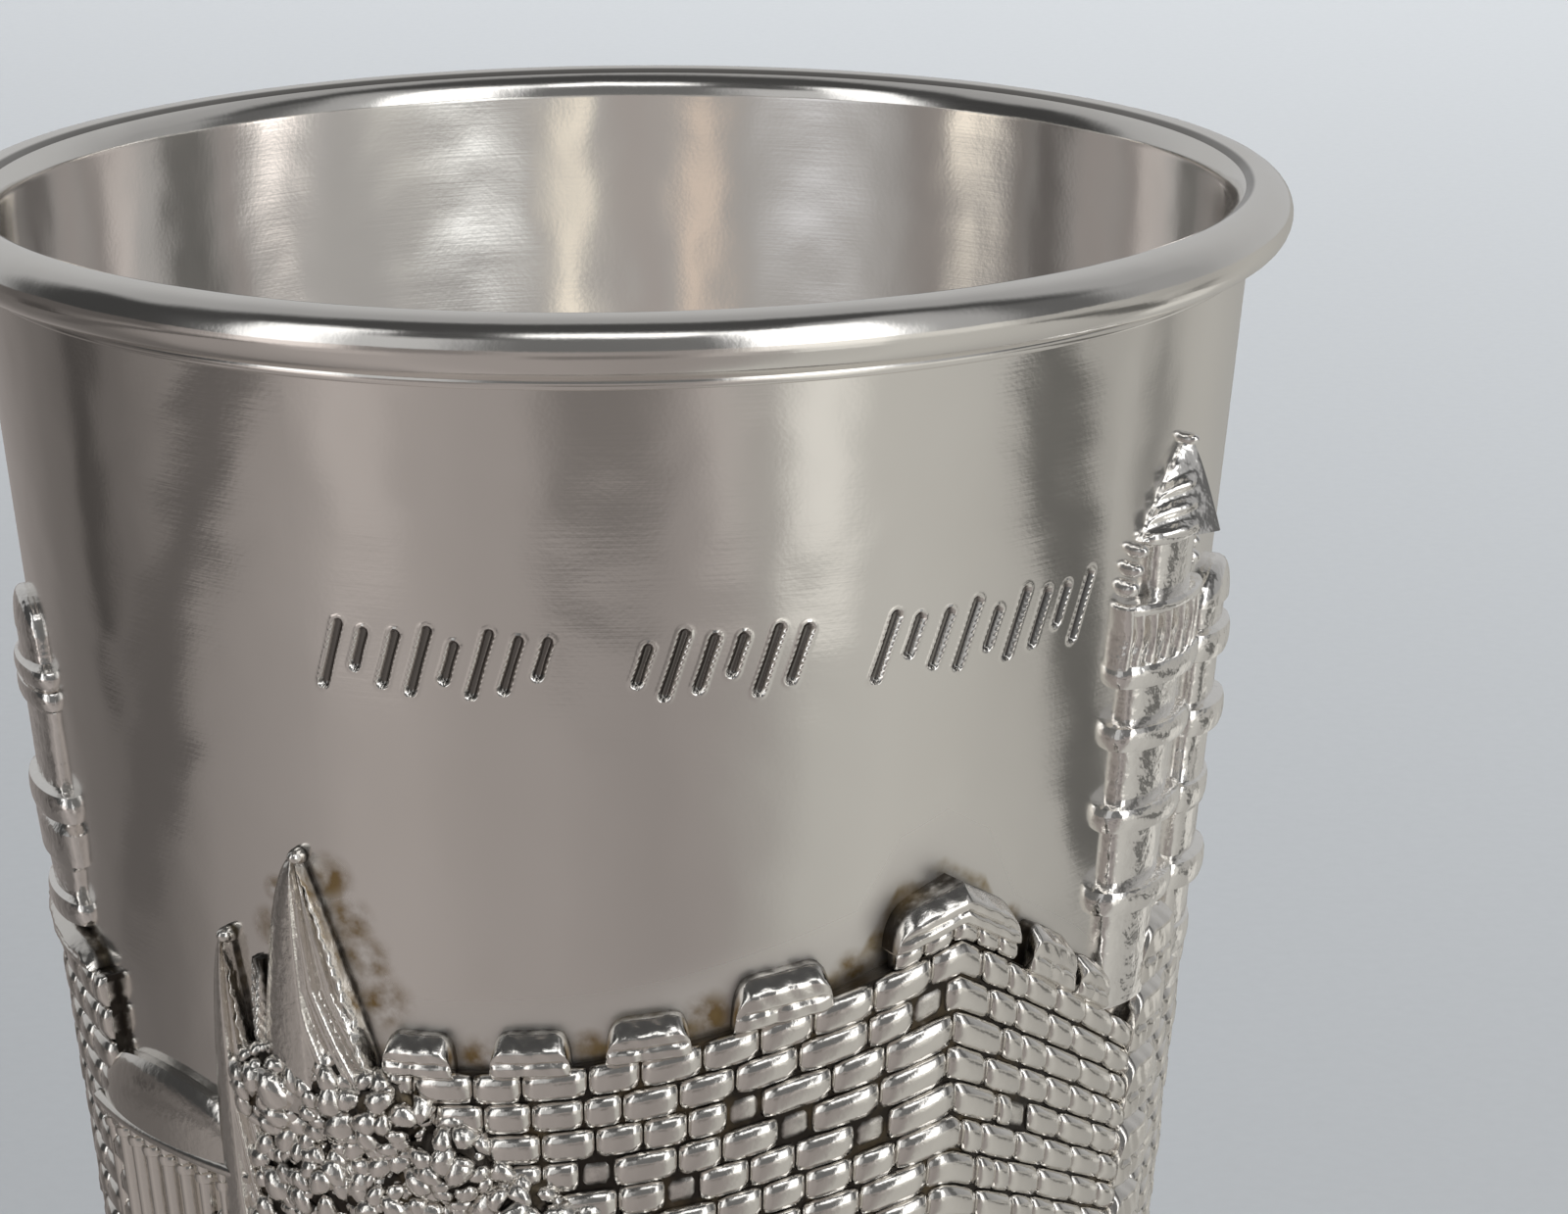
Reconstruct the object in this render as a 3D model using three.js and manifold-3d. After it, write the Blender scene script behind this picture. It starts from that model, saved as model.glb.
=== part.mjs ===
// Kiddush cup: a tapered silver beaker with a rolled rim and a town in relief round its wall.
//
// Frame: millimetres, +Z up, origin at the centre of the underside, front facing -Y.
// A place on the wall is an angle in degrees from the front (positive towards +X), a height z
// above the table, and a relief height measured outward from the plain wall.
// The town: a fortress wall with a corner at the front, falling to a minaret and a round tower
// on the right; cypresses and a domed hall on the left; a plain town wall behind.

import * as THREE from 'three';
import { mergeVertices } from 'three/addons/utils/BufferGeometryUtils.js';
import Module from 'manifold-3d';

const wasm = await Module();
wasm.setup();

// ---------- driving dimensions: the vessel ----------
const HEIGHT = 80;
const RIM_DIAMETER = 64.9; // over the rolled rim
const BEAD_RADIUS = 1.45; // the rolled rim's own section
const BASE_RADIUS = 22.43; // of the outer wall where it reaches the table
const WALL_SPREAD = 0.1034; // radius gained per millimetre of height
const WALL_THICKNESS = 0.8;
const FLOOR_Z = 2.0; // inside floor
const FLOOR_FILLET = 2.5;
const LIP = { height: 0.6, proud: 0.25 }; // the edge of the sheet, turned in under the rim
const FOOT = { radius: 23.1, height: 1.8, chamfer: 0.5, ringWidth: 2.6, recess: 0.8 };
const SEGMENTS = 60; // round the cup
const BEAD_STEPS = 6; // round the rim's section

// ---------- driving dimensions: the relief ----------
const ROOT_DEPTH = 0.45; // how far a relief block reaches into the wall it joins
const WELD = 1e-4; // vertices nearer than this are one
const RELIEF = 0.85; // height of a plain town wall
const COURSE_PITCH = 1.79; // height of one course of stones, with its joint
const JOINT_DEPTH = 0.28;
const PLAIN_STEP = 12; // degrees between the facets' edges of the plainer walls
const PLAIN_PITCH = 3 * COURSE_PITCH; // one band here stands for three courses
const MERLON = { height: 2.15, relief: 1.15, sunk: 0.9, width: 7.4 };
const RELIEF_FOOT_Z = 8.5; // the ground's lower edge, above a plain band

const FORT = {
  corner: 32.2, // angle of the corner's ridge
  left: -27,
  right: 61,
  topZ: 49.35, // the wall's walk at the corner
  footZ: 22.5,
  levelZ: 26, // the height where the courses run level
  rise: 0.1127, // millimetres of z for each degree, on the left face's top course
  fall: 0.25, // the same on the right face
  ridge: 1.05, // extra relief at the corner
  ridgeSpread: 15, // degrees over which it fades
  step: 7.3, // degrees between the facets' edges
  merlons: [-19.8, -9.1, 1.8, 14.5, 44.6, 52.8],
  cornerBlock: { left: 24.1, right: 39.4, height: 2.85 },
};

const BACK_WALL = { left: 66, right: 249, topZ: 44.6, footZ: 22.5, firstMerlon: 102, merlonPitch: 18, merlons: 7 };
const LEFT_WALL = { left: -112, right: -61, topZ: 43.6, footZ: 24, ledge: { height: 1.3, relief: 1.25 } };
const PIER = { left: 60.5, right: 68.5, topZ: 47, footZ: 22.5, relief: 1.1 };

// Top of the bushy slope below the walls, as [angle, z] from the back's left round to its right.
const SLOPE_LINE = [
  [-180, 25], [-112, 26], [-72, 28], [-52, 29], [-42, 36], [-35, 43], [-26, 43.2],
  [-14, 40.2], [-4, 37.6], [8, 33], [32, 25.5], [62, 23.5], [120, 24], [180, 25],
];
const SLOPE = { relief: 1.25, lump: 0.3, rows: 2, columns: 24, overlap: 0.5 };
// Round bushes at the slope's top, each [angle, z, radius].
const BUSHES = [
  [-36.2, 42.2, 2.1], [-30, 42.4, 2.2], [-24, 41.8, 2.2], [-17.5, 39.8, 2.1],
  [-31, 38, 2.3], [-24.5, 37.4, 2.3], [-18, 35.8, 2.1], [-10.5, 37.4, 2.1],
];
const BUSH_RELIEF = 1.6;

// Each cypress: angles of its foot's edges and of its tip, with their heights.
const CYPRESSES = [
  { left: -37.2, right: -23.8, foot: 43.6, tip: -30.8, top: 54.7, relief: 1.35 },
  { left: -45, right: -34, foot: 36, tip: -39.8, top: 50, relief: 1.2 },
  { left: 118, right: 129, foot: 43, tip: 123.5, top: 56, relief: 1.2 },
  { left: -152, right: -141, foot: 43, tip: -146.5, top: 55, relief: 1.2 },
];
const CYPRESS_FLUTES = 4;

const MINARET = {
  angle: 57,
  footZ: 43,
  shaft: { halfWidth: 3.9, top: 60, relief: 1.15 },
  gallery: { halfWidth: 6, bottom: 59.4, top: 63.6, relief: 1.5, posts: 7 },
  drum: { halfWidth: 2.9, top: 66, relief: 1.1 },
  roof: { halfWidth: 4.8, bottom: 65.4, top: 70.4, relief: 1.6 },
  rings: [59.3, 56.3, 52.2, 48.3],
  ring: { halfWidth: 6.2, height: 1.1, relief: 1.65 },
};
const ROUND_TOWER = {
  angle: 79,
  footZ: 43,
  top: 62,
  halfWidth: 7.6,
  relief: 1.9,
  rings: [48.5, 54, 58.5],
  ring: { halfWidth: 8.4, height: 1.2, relief: 2.35 },
  dome: 3.6,
};
const TURRET = {
  angle: -78,
  footZ: 43,
  top: 59,
  halfWidth: 5.4,
  relief: 0.85,
  rings: [51.2, 57.8],
  ring: { halfWidth: 6.8, height: 1.2, relief: 1.2 },
  dome: 3,
};
const HALL = {
  left: -68.5,
  right: -39.6,
  footZ: 27,
  cornice: { bottom: 36.9, top: 37.8, relief: 1.3 },
  dome: { rise: 4, relief: 1.15 },
  wallRelief: 0.4,
  columns: 9,
  columnRelief: 0.95,
};
const BACK_DOME = { angle: 180, halfWidth: 17, bottom: 44.2, rise: 7.5, relief: 1.4 };
const GATE = { angle: 180, halfWidth: 7, bottom: 23, spring: 33, depth: 0.55, frame: 1.7 };

// The inscription's place holds slanted strokes. Each group is a list of marks, and a mark is
// the row of strokes at one angle, by their lengths: 0 leaves a gap.
const STROKES = { z: 63.9, height: 3, width: 0.55, depth: 0.3, lean: 0.32, spacing: 2.75 };
const STROKE_GROUPS = [
  { start: -26, lengths: [1, 0.55, 0.8, 1, 0.55, 1, 0.8, 0.55] },
  { start: 1.8, lengths: [0.55, 1, 0.8, 0.55, 1, 0.8] },
  { start: 23.6, lengths: [1, 0.55, 0.8, 1, 0.55, 1, 0.8, 0.55, 1] },
];

const SILVER = { color: 0x9a948e, roughness: 0.28, metalness: 1 };

// ---------- shared geometry ----------
const { lerp, clamp, degToRad } = THREE.MathUtils;
const hump = (u) => Math.sin(Math.PI * u);

function wallRadius(z) {
  return BASE_RADIUS + WALL_SPREAD * z;
}

function onWall(angle, z, height) {
  const radius = wallRadius(z) + height;
  const turn = degToRad(angle);
  return [radius * Math.sin(turn), -radius * Math.cos(turn), z];
}

// A closed block on the wall. place(u, v) gives angle, z and height over a grid of columns and
// rows; the back of the block lies ROOT_DEPTH inside the wall, so that joining it leaves no gap.
function reliefBlock(columns, rows, place) {
  const vertices = [];
  for (const sunk of [false, true]) {
    for (let row = 0; row <= rows; row += 1) {
      for (let column = 0; column <= columns; column += 1) {
        const spot = place(column / columns, row / rows);
        vertices.push(...onWall(spot.angle, spot.z, sunk ? -ROOT_DEPTH : spot.height));
      }
    }
  }
  const faces = [];
  const quad = (a, b, c, d) => faces.push(a, b, c, a, c, d);
  const across = columns + 1;
  const back = across * (rows + 1);
  for (let row = 0; row < rows; row += 1) {
    for (let column = 0; column < columns; column += 1) {
      const corner = row * across + column;
      quad(corner, corner + 1, corner + across + 1, corner + across);
      quad(back + corner, back + corner + across, back + corner + across + 1, back + corner + 1);
    }
  }
  for (let column = 0; column < columns; column += 1) {
    const low = column;
    const high = rows * across + column;
    quad(low + 1, low, back + low, back + low + 1);
    quad(high, high + 1, back + high + 1, back + high);
  }
  for (let row = 0; row < rows; row += 1) {
    const left = row * across;
    const right = left + columns;
    quad(left, left + across, back + left + across, back + left);
    quad(right + across, right, back + right, back + right + across);
  }
  const geometry = new THREE.BufferGeometry();
  geometry.setAttribute('position', new THREE.Float32BufferAttribute(vertices, 3));
  geometry.setIndex(faces);
  return toSolid(geometry);
}

function toSolid(geometry) {
  const bare = geometry.clone();
  bare.deleteAttribute('normal');
  bare.deleteAttribute('uv');
  const welded = mergeVertices(bare, WELD);
  const corners = welded.index.array;
  const kept = [];
  for (let first = 0; first < corners.length; first += 3) {
    const [a, b, c] = corners.slice(first, first + 3);
    if (a !== b && b !== c && c !== a) {
      kept.push(a, b, c);
    }
  }
  const mesh = new wasm.Mesh({
    numProp: 3,
    vertProperties: Float32Array.from(welded.attributes.position.array),
    triVerts: Uint32Array.from(kept),
  });
  return new wasm.Manifold(mesh);
}

function toGeometry(solid) {
  const mesh = solid.getMesh();
  const geometry = new THREE.BufferGeometry();
  geometry.setAttribute('position', new THREE.BufferAttribute(mesh.vertProperties, 3));
  geometry.setIndex(new THREE.BufferAttribute(mesh.triVerts, 1));
  const faceted = geometry.toNonIndexed();
  faceted.computeVertexNormals();
  return faceted;
}

// ---------- the vessel ----------
function vesselProfile() {
  const beadCentre = { radius: RIM_DIAMETER / 2 - BEAD_RADIUS, z: HEIGHT - BEAD_RADIUS };
  const lipTop = beadCentre.z - BEAD_RADIUS;
  const lipBottom = lipTop - LIP.height;
  const innerRadius = (z) => wallRadius(z) - WALL_THICKNESS;
  const ringInner = FOOT.radius - FOOT.chamfer - FOOT.ringWidth;
  const profile = [
    [0, FOOT.recess],
    [ringInner - FOOT.recess, FOOT.recess],
    [ringInner, 0],
    [FOOT.radius - FOOT.chamfer, 0],
    [FOOT.radius, FOOT.chamfer],
    [FOOT.radius, FOOT.height],
    [wallRadius(FOOT.height + FOOT.chamfer), FOOT.height + FOOT.chamfer],
    [wallRadius(lipBottom), lipBottom],
    [wallRadius(lipBottom) + LIP.proud, lipBottom + LIP.height / 3],
  ];
  const beadStart = degToRad(-100);
  for (let step = 0; step <= BEAD_STEPS; step += 1) {
    const turn = lerp(beadStart, Math.PI, step / BEAD_STEPS);
    profile.push([
      beadCentre.radius + BEAD_RADIUS * Math.cos(turn),
      beadCentre.z + BEAD_RADIUS * Math.sin(turn),
    ]);
  }
  profile.push([innerRadius(lipBottom), lipBottom]);
  const filletRadius = innerRadius(FLOOR_Z + FLOOR_FILLET) - FLOOR_FILLET;
  for (const turn of [0, -Math.PI / 4, -Math.PI / 2]) {
    profile.push([
      filletRadius + FLOOR_FILLET * Math.cos(turn),
      FLOOR_Z + FLOOR_FILLET + FLOOR_FILLET * Math.sin(turn),
    ]);
  }
  profile.push([0, FLOOR_Z]);
  return profile.map(([radius, z]) => new THREE.Vector2(radius, z));
}

function vessel() {
  const lathe = new THREE.LatheGeometry(vesselProfile(), SEGMENTS);
  lathe.rotateX(Math.PI / 2);
  return toSolid(lathe);
}

// Evenly spaced angles from one end to the other, no further apart than step.
function evenAngles(left, right, step) {
  const count = Math.ceil((right - left) / step);
  return Array.from({ length: count + 1 }, (_, place) => lerp(left, right, place / count));
}

// ---------- walls of stone courses ----------
// A run of wall whose courses show as rounded bands. courseZ(angle, share) gives the height of
// the joint at that share of the way up, and relief(angle) the height of the stones.
function coursedWall({ angles, courses, courseZ, relief }) {
  const columns = angles.length - 1;
  return reliefBlock(columns, courses * 2, (u, v) => {
    const angle = angles[Math.round(u * columns)];
    const onJoint = Math.round(v * courses * 2) % 2 === 0;
    return {
      angle,
      z: courseZ(angle, v),
      height: relief(angle) - (onJoint ? JOINT_DEPTH : 0),
    };
  });
}

// One block of stone with bevelled top and ends, leaning with its course by slope per degree.
function stoneBlock({ left, right, bottom, top, relief, slope = 0 }) {
  const middle = (left + right) / 2;
  const bevel = 0.5;
  const ends = [left, left + bevel, right - bevel, right];
  const levels = [bottom, top - bevel, top];
  return reliefBlock(ends.length - 1, levels.length - 1, (u, v) => {
    const column = Math.round(u * (ends.length - 1));
    const row = Math.round(v * (levels.length - 1));
    const atEnd = column === 0 || column === ends.length - 1;
    const atTop = row === levels.length - 1;
    return {
      angle: ends[column],
      z: levels[row] + slope * (ends[column] - middle),
      height: relief - (atEnd ? bevel / 2 : 0) - (atTop ? bevel : 0),
    };
  });
}

// ---------- the fortress and its corner ----------
function fortCourseZ(angle, share) {
  const cornerZ = lerp(FORT.footZ, FORT.topZ, share);
  const fan = clamp((cornerZ - FORT.levelZ) / (FORT.topZ - FORT.levelZ), 0, 1);
  const offset = angle - FORT.corner;
  const slope = offset < 0 ? FORT.rise : -FORT.fall;
  return cornerZ + slope * fan * offset;
}

function fortRelief(angle) {
  const nearness = Math.max(0, 1 - Math.abs(angle - FORT.corner) / FORT.ridgeSpread);
  return RELIEF + FORT.ridge * nearness;
}

function fortress() {
  const courses = Math.round((FORT.topZ - FORT.footZ) / COURSE_PITCH);
  const angles = [
    ...evenAngles(FORT.left, FORT.corner, FORT.step),
    ...evenAngles(FORT.corner, FORT.right, FORT.step).slice(1),
  ];
  const parts = [coursedWall({ angles, courses, courseZ: fortCourseZ, relief: fortRelief })];
  for (const angle of FORT.merlons) {
    const walk = fortCourseZ(angle, 1);
    parts.push(stoneBlock({
      left: angle - MERLON.width / 2,
      right: angle + MERLON.width / 2,
      bottom: walk - MERLON.sunk,
      top: walk + MERLON.height,
      relief: Math.max(MERLON.relief, fortRelief(angle) + 0.2),
      slope: angle < FORT.corner ? FORT.rise : -FORT.fall,
    }));
  }
  parts.push(cornerBlock());
  return parts;
}

// The corner merlon follows both faces and meets in a ridge.
function cornerBlock() {
  const { left, right, height } = FORT.cornerBlock;
  const angles = [left, left + 0.6, FORT.corner, right - 0.6, right];
  const rows = 2;
  return reliefBlock(angles.length - 1, rows, (u, v) => {
    const column = Math.round(u * (angles.length - 1));
    const angle = angles[column];
    const walk = fortCourseZ(angle, 1);
    const levels = [walk - MERLON.sunk, walk + height - 0.5, walk + height];
    const atEnd = column === 0 || column === angles.length - 1;
    const row = Math.round(v * rows);
    return {
      angle,
      z: levels[row],
      height: fortRelief(angle) + 0.25 - (atEnd ? 0.3 : 0) - (row === rows ? 0.5 : 0),
    };
  });
}

// ---------- the plainer walls ----------
function levelWall({ left, right, topZ, footZ }) {
  return coursedWall({
    angles: evenAngles(left, right, PLAIN_STEP),
    courses: Math.round((topZ - footZ) / PLAIN_PITCH),
    courseZ: (angle, share) => lerp(footZ, topZ, share),
    relief: () => RELIEF,
  });
}

function backWall() {
  const parts = [levelWall(BACK_WALL)];
  for (let merlon = 0; merlon < BACK_WALL.merlons; merlon += 1) {
    const middle = BACK_WALL.firstMerlon + merlon * BACK_WALL.merlonPitch;
    parts.push(stoneBlock({
      left: middle - MERLON.width / 2,
      right: middle + MERLON.width / 2,
      bottom: BACK_WALL.topZ - MERLON.sunk,
      top: BACK_WALL.topZ + MERLON.height,
      relief: MERLON.relief,
    }));
  }
  parts.push(dome(BACK_DOME));
  return parts;
}

function leftWall() {
  const { left, right, topZ, ledge } = LEFT_WALL;
  const band = bandBlock({ left, right, bottom: topZ - 0.2, top: topZ + ledge.height, relief: ledge.relief });
  return [levelWall(LEFT_WALL), band];
}

// A plain raised band with bevelled edges.
function bandBlock({ left, right, bottom, top, relief }) {
  const columns = Math.max(2, Math.ceil((right - left) / 6));
  const levels = [bottom, lerp(bottom, top, 0.25), lerp(bottom, top, 0.75), top];
  return reliefBlock(columns, levels.length - 1, (u, v) => {
    const row = Math.round(v * (levels.length - 1));
    const atEdge = row === 0 || row === levels.length - 1;
    return { angle: lerp(left, right, u), z: levels[row], height: relief - (atEdge ? 0.35 : 0) };
  });
}

function pier() {
  const { left, right, topZ, footZ, relief } = PIER;
  const courses = Math.round((topZ - footZ) / PLAIN_PITCH);
  return coursedWall({
    angles: evenAngles(left, right, (right - left) / 2),
    courses,
    courseZ: (angle, share) => lerp(footZ, topZ, share),
    relief: () => relief,
  });
}

// The arched gate in the back wall: its frame stands out and its opening is a shallow recess.
function archBlock(halfWidth, base, spring, relief) {
  const columns = 8;
  const rise = halfWidth * degToRad(wallRadius(spring));
  return reliefBlock(columns, 1, (u, v) => ({
    angle: GATE.angle + lerp(-halfWidth, halfWidth, u),
    z: v === 0 ? base : spring + rise * Math.sqrt(Math.max(0, 1 - (2 * u - 1) ** 2)),
    height: relief,
  }));
}

// ---------- round towers, minaret and domes ----------
// A half-round column on the wall, between two heights.
function halfColumn({ angle, halfWidth, bottom, top, relief, columns = 4 }) {
  return reliefBlock(columns, 1, (u, v) => ({
    angle: angle + lerp(-halfWidth, halfWidth, u),
    z: lerp(bottom, top, v),
    height: lerp(0.3, relief, hump(u)),
  }));
}

function ringRound(angle, z, { halfWidth, height, relief }) {
  return halfColumn({ angle, halfWidth, relief, bottom: z - height / 2, top: z + height / 2 });
}

// A dome or a segment of one: its top edge follows an arc, and its relief swells in the middle.
function dome({ angle, halfWidth, bottom, rise, relief }) {
  return reliefBlock(6, 2, (u, v) => ({
    angle: angle + lerp(-halfWidth, halfWidth, u),
    z: bottom + v * (0.25 + rise * Math.sqrt(hump(u))),
    height: 0.3 + (relief - 0.3) * Math.sqrt(hump(u)) * (1 - 0.75 * v * v),
  }));
}

// A pointed roof, narrowing to its tip.
function coneRoof({ angle, halfWidth, bottom, top, relief }) {
  return reliefBlock(4, 3, (u, v) => ({
    angle: angle + lerp(-halfWidth, halfWidth, u) * lerp(1, 0.06, v),
    z: lerp(bottom, top, v),
    height: lerp(0.3, lerp(relief, 0.5, v), hump(u)),
  }));
}

function minaret() {
  const { angle, footZ, shaft, gallery, drum, roof, rings, ring } = MINARET;
  const parts = [
    halfColumn({ angle, ...shaft, bottom: footZ }),
    halfColumn({ angle, ...drum, bottom: gallery.top - 0.4 }),
    coneRoof({ angle, ...roof }),
    halfColumn({ angle, ...gallery, bottom: gallery.bottom, top: gallery.bottom + 0.9 }),
    halfColumn({ angle, ...gallery, bottom: gallery.top - 0.9, top: gallery.top }),
  ];
  for (let post = 0; post < gallery.posts; post += 1) {
    const share = (post + 0.5) / gallery.posts;
    parts.push(halfColumn({
      angle: angle + lerp(-gallery.halfWidth, gallery.halfWidth, share),
      halfWidth: 0.45,
      bottom: gallery.bottom + 0.5,
      top: gallery.top - 0.5,
      relief: lerp(0.5, gallery.relief - 0.15, hump(share)),
      columns: 2,
    }));
  }
  for (const z of rings) {
    parts.push(ringRound(angle, z, ring));
  }
  return parts;
}

function ringedTower({ angle, footZ, top, halfWidth, relief, rings, ring, dome: rise }) {
  const parts = [
    halfColumn({ angle, halfWidth, relief, bottom: footZ, top }),
    dome({ angle, halfWidth, bottom: top - 0.2, rise, relief }),
  ];
  for (const z of rings) {
    parts.push(ringRound(angle, z, ring));
  }
  return parts;
}

// The low domed hall with a row of columns under its cornice.
function hall() {
  const { left, right, footZ, cornice, columns, columnRelief, wallRelief } = HALL;
  const angle = (left + right) / 2;
  const halfWidth = (right - left) / 2;
  const parts = [
    dome({ angle, halfWidth, bottom: cornice.top - 0.3, ...HALL.dome }),
    bandBlock({ left, right, ...cornice }),
    bandBlock({ left: left + 0.6, right: right - 0.6, bottom: footZ, top: cornice.bottom + 0.3, relief: wallRelief }),
  ];
  for (let column = 0; column < columns; column += 1) {
    parts.push(halfColumn({
      angle: lerp(left, right, (column + 0.5) / columns),
      halfWidth: 0.85,
      bottom: footZ,
      top: cornice.bottom + 0.3,
      relief: columnRelief,
      columns: 2,
    }));
  }
  return parts;
}

// ---------- trees and the slope ----------
// A cypress: a narrow flame of foliage, fluted from its foot to its tip.
function cypress({ left, right, foot, tip, top, relief }) {
  return reliefBlock(CYPRESS_FLUTES, 3, (u, v) => {
    const taper = (1 - v) ** 0.85 + 0.03;
    const across = lerp(left, right, u);
    const inGroove = Math.round(u * CYPRESS_FLUTES) % 2 === 0;
    const fullness = lerp(0.3, relief, hump(u)) - (inGroove ? 0.2 * taper : 0);
    return {
      angle: tip + (across - tip) * taper,
      z: lerp(foot, top, v),
      height: Math.max(0.25, fullness * lerp(1, 0.55, v)),
    };
  });
}

function slopeTop(angle) {
  const next = SLOPE_LINE.findIndex(([knot]) => knot >= angle);
  const [endAngle, endZ] = SLOPE_LINE[Math.max(1, next)];
  const [startAngle, startZ] = SLOPE_LINE[Math.max(1, next) - 1];
  return THREE.MathUtils.mapLinear(
    THREE.MathUtils.smoothstep(angle, startAngle, endAngle), 0, 1, startZ, endZ);
}

// Half of the lumpy slope under the walls; the halves overlap a little where they meet.
function slopeHalf(left, right) {
  return reliefBlock(SLOPE.columns, SLOPE.rows, (u, v) => {
    const angle = lerp(left - SLOPE.overlap, right + SLOPE.overlap, u);
    const column = Math.round(u * SLOPE.columns);
    const row = Math.round(v * SLOPE.rows);
    const lump = (column + row) % 2 === 0 ? SLOPE.lump : -SLOPE.lump;
    const edge = row === 0 || row === SLOPE.rows ? 0.5 : 0;
    return { angle, z: lerp(RELIEF_FOOT_Z, slopeTop(angle), v), height: SLOPE.relief + lump - edge };
  });
}

function bush([angle, z, radius]) {
  const halfAngle = THREE.MathUtils.radToDeg(radius / wallRadius(z));
  return reliefBlock(3, 3, (u, v) => {
    const x = 2 * u - 1;
    const y = 2 * v - 1;
    const rounding = Math.sqrt(1 - 0.42 * y * y);
    const swell = Math.max(0, 1 - 0.5 * (x * x + y * y));
    return {
      angle: angle + x * halfAngle * rounding,
      z: z + y * radius * Math.sqrt(1 - 0.42 * x * x),
      height: lerp(0.6, BUSH_RELIEF, swell),
    };
  });
}

// ---------- the row of strokes under the rim ----------
function strokes() {
  const cuts = [];
  for (const { start, lengths } of STROKE_GROUPS) {
    lengths.forEach((length, place) => {
      const angle = start + place * STROKES.spacing;
      const halfWidth = THREE.MathUtils.radToDeg(STROKES.width / 2 / wallRadius(STROKES.z));
      const tall = STROKES.height * length;
      const middle = place % 2 === 0 ? STROKES.z : STROKES.z + (STROKES.height - tall) / 4;
      cuts.push(strokeCut(angle, middle, halfWidth, tall));
    });
  }
  return cuts;
}

function strokeCut(angle, middle, halfWidth, tall) {
  const lean = THREE.MathUtils.radToDeg((STROKES.lean * tall) / 2 / wallRadius(middle));
  const outside = 0.4;
  const vertices = [];
  for (const height of [outside, -STROKES.depth]) {
    for (const v of [-1, 1]) {
      for (const u of [-1, 1]) {
        vertices.push(...onWall(angle + v * lean + u * halfWidth, middle + (v * tall) / 2, height));
      }
    }
  }
  const faces = [
    0, 1, 3, 0, 3, 2, 4, 6, 7, 4, 7, 5, 1, 0, 4, 1, 4, 5,
    2, 3, 7, 2, 7, 6, 0, 2, 6, 0, 6, 4, 3, 1, 5, 3, 5, 7,
  ];
  const geometry = new THREE.BufferGeometry();
  geometry.setAttribute('position', new THREE.Float32BufferAttribute(vertices, 3));
  geometry.setIndex(faces);
  return toSolid(geometry);
}

// ---------- the cup ----------
function cup() {
  const raised = [
    ...fortress(),
    ...backWall(),
    ...leftWall(),
    pier(),
    ...minaret(),
    ...ringedTower(ROUND_TOWER),
    ...ringedTower(TURRET),
    ...hall(),
    archBlock(GATE.halfWidth + GATE.frame, GATE.bottom, GATE.spring, RELIEF + 0.5),
    ...CYPRESSES.map(cypress),
    slopeHalf(-180, 0),
    slopeHalf(0, 180),
    ...BUSHES.map(bush),
  ];
  let solid = vessel();
  for (const block of raised) {
    solid = solid.add(block);
  }
  for (const cut of strokes()) {
    solid = solid.subtract(cut);
  }
  return toGeometry(solid);
}

const silver = new THREE.MeshStandardMaterial(SILVER);
const cupMesh = new THREE.Mesh(cup(), silver);
cupMesh.name = 'cup';

const kiddushCup = new THREE.Group();
kiddushCup.add(cupMesh);

export default kiddushCup;
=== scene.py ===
# %% [markdown]
# # A silver kiddush cup
# A kiddush cup is a small beaker for wine. This one is a tapered silver vessel with a rolled rim,
# a short row of punched strokes below it, and a walled town in relief round its lower half.
# The solid model fixes every size. This script dresses it: each cell says what a piece is on the
# real cup, how it could be made, and why this way was chosen.

# %% Load the fixed frame
import math
import random

import bpy
import numpy as np
from mathutils import Matrix, Vector


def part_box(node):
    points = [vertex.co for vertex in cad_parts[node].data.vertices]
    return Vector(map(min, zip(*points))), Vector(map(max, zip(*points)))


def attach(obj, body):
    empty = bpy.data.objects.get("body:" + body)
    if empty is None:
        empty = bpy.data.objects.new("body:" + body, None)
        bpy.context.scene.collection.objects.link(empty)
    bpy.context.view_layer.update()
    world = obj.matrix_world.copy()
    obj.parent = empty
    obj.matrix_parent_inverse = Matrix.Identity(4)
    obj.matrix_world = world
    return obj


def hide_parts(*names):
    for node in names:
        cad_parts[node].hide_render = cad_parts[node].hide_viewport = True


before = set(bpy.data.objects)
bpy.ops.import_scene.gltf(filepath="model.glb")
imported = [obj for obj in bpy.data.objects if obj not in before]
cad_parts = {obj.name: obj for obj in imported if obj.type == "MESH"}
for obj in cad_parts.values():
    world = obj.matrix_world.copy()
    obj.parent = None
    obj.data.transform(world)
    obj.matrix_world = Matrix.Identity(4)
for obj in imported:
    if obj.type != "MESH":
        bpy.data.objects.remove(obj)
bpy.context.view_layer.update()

cup_low, cup_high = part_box("cup")
MM = 0.001
HEIGHT = cup_high.z
RIM_RADIUS = (cup_high.x - cup_low.x) / 2
print("cup is", round(HEIGHT / MM, 1), "mm tall,", round(2 * RIM_RADIUS / MM, 1), "mm over the rim")

# %% [markdown]
# ## Places on the wall
# The wall is a cone, so a place on it is an angle from the front, a height above the table and a
# relief height above the plain wall. One function turns those three into a point. Everything
# that stands on the wall goes through it, so nothing has to be bent afterwards.

# %% The wall's own coordinates
BASE_RADIUS = 22.43 * MM
WALL_SPREAD = 0.1034
WALL_THICKNESS = 0.8 * MM


def wall_radius(z):
    return BASE_RADIUS + WALL_SPREAD * z


def around(radius, angle, z):
    """Points round the cup's axis, angles in degrees, as an array whose last axis is x, y, z."""
    turn = np.radians(angle)
    return np.stack([radius * np.sin(turn), -radius * np.cos(turn), z + 0 * radius], axis=-1)


def on_wall(angle, z, height):
    """The same for a relief height above the plain wall."""
    return around(wall_radius(z) + height, angle, z)


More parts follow.
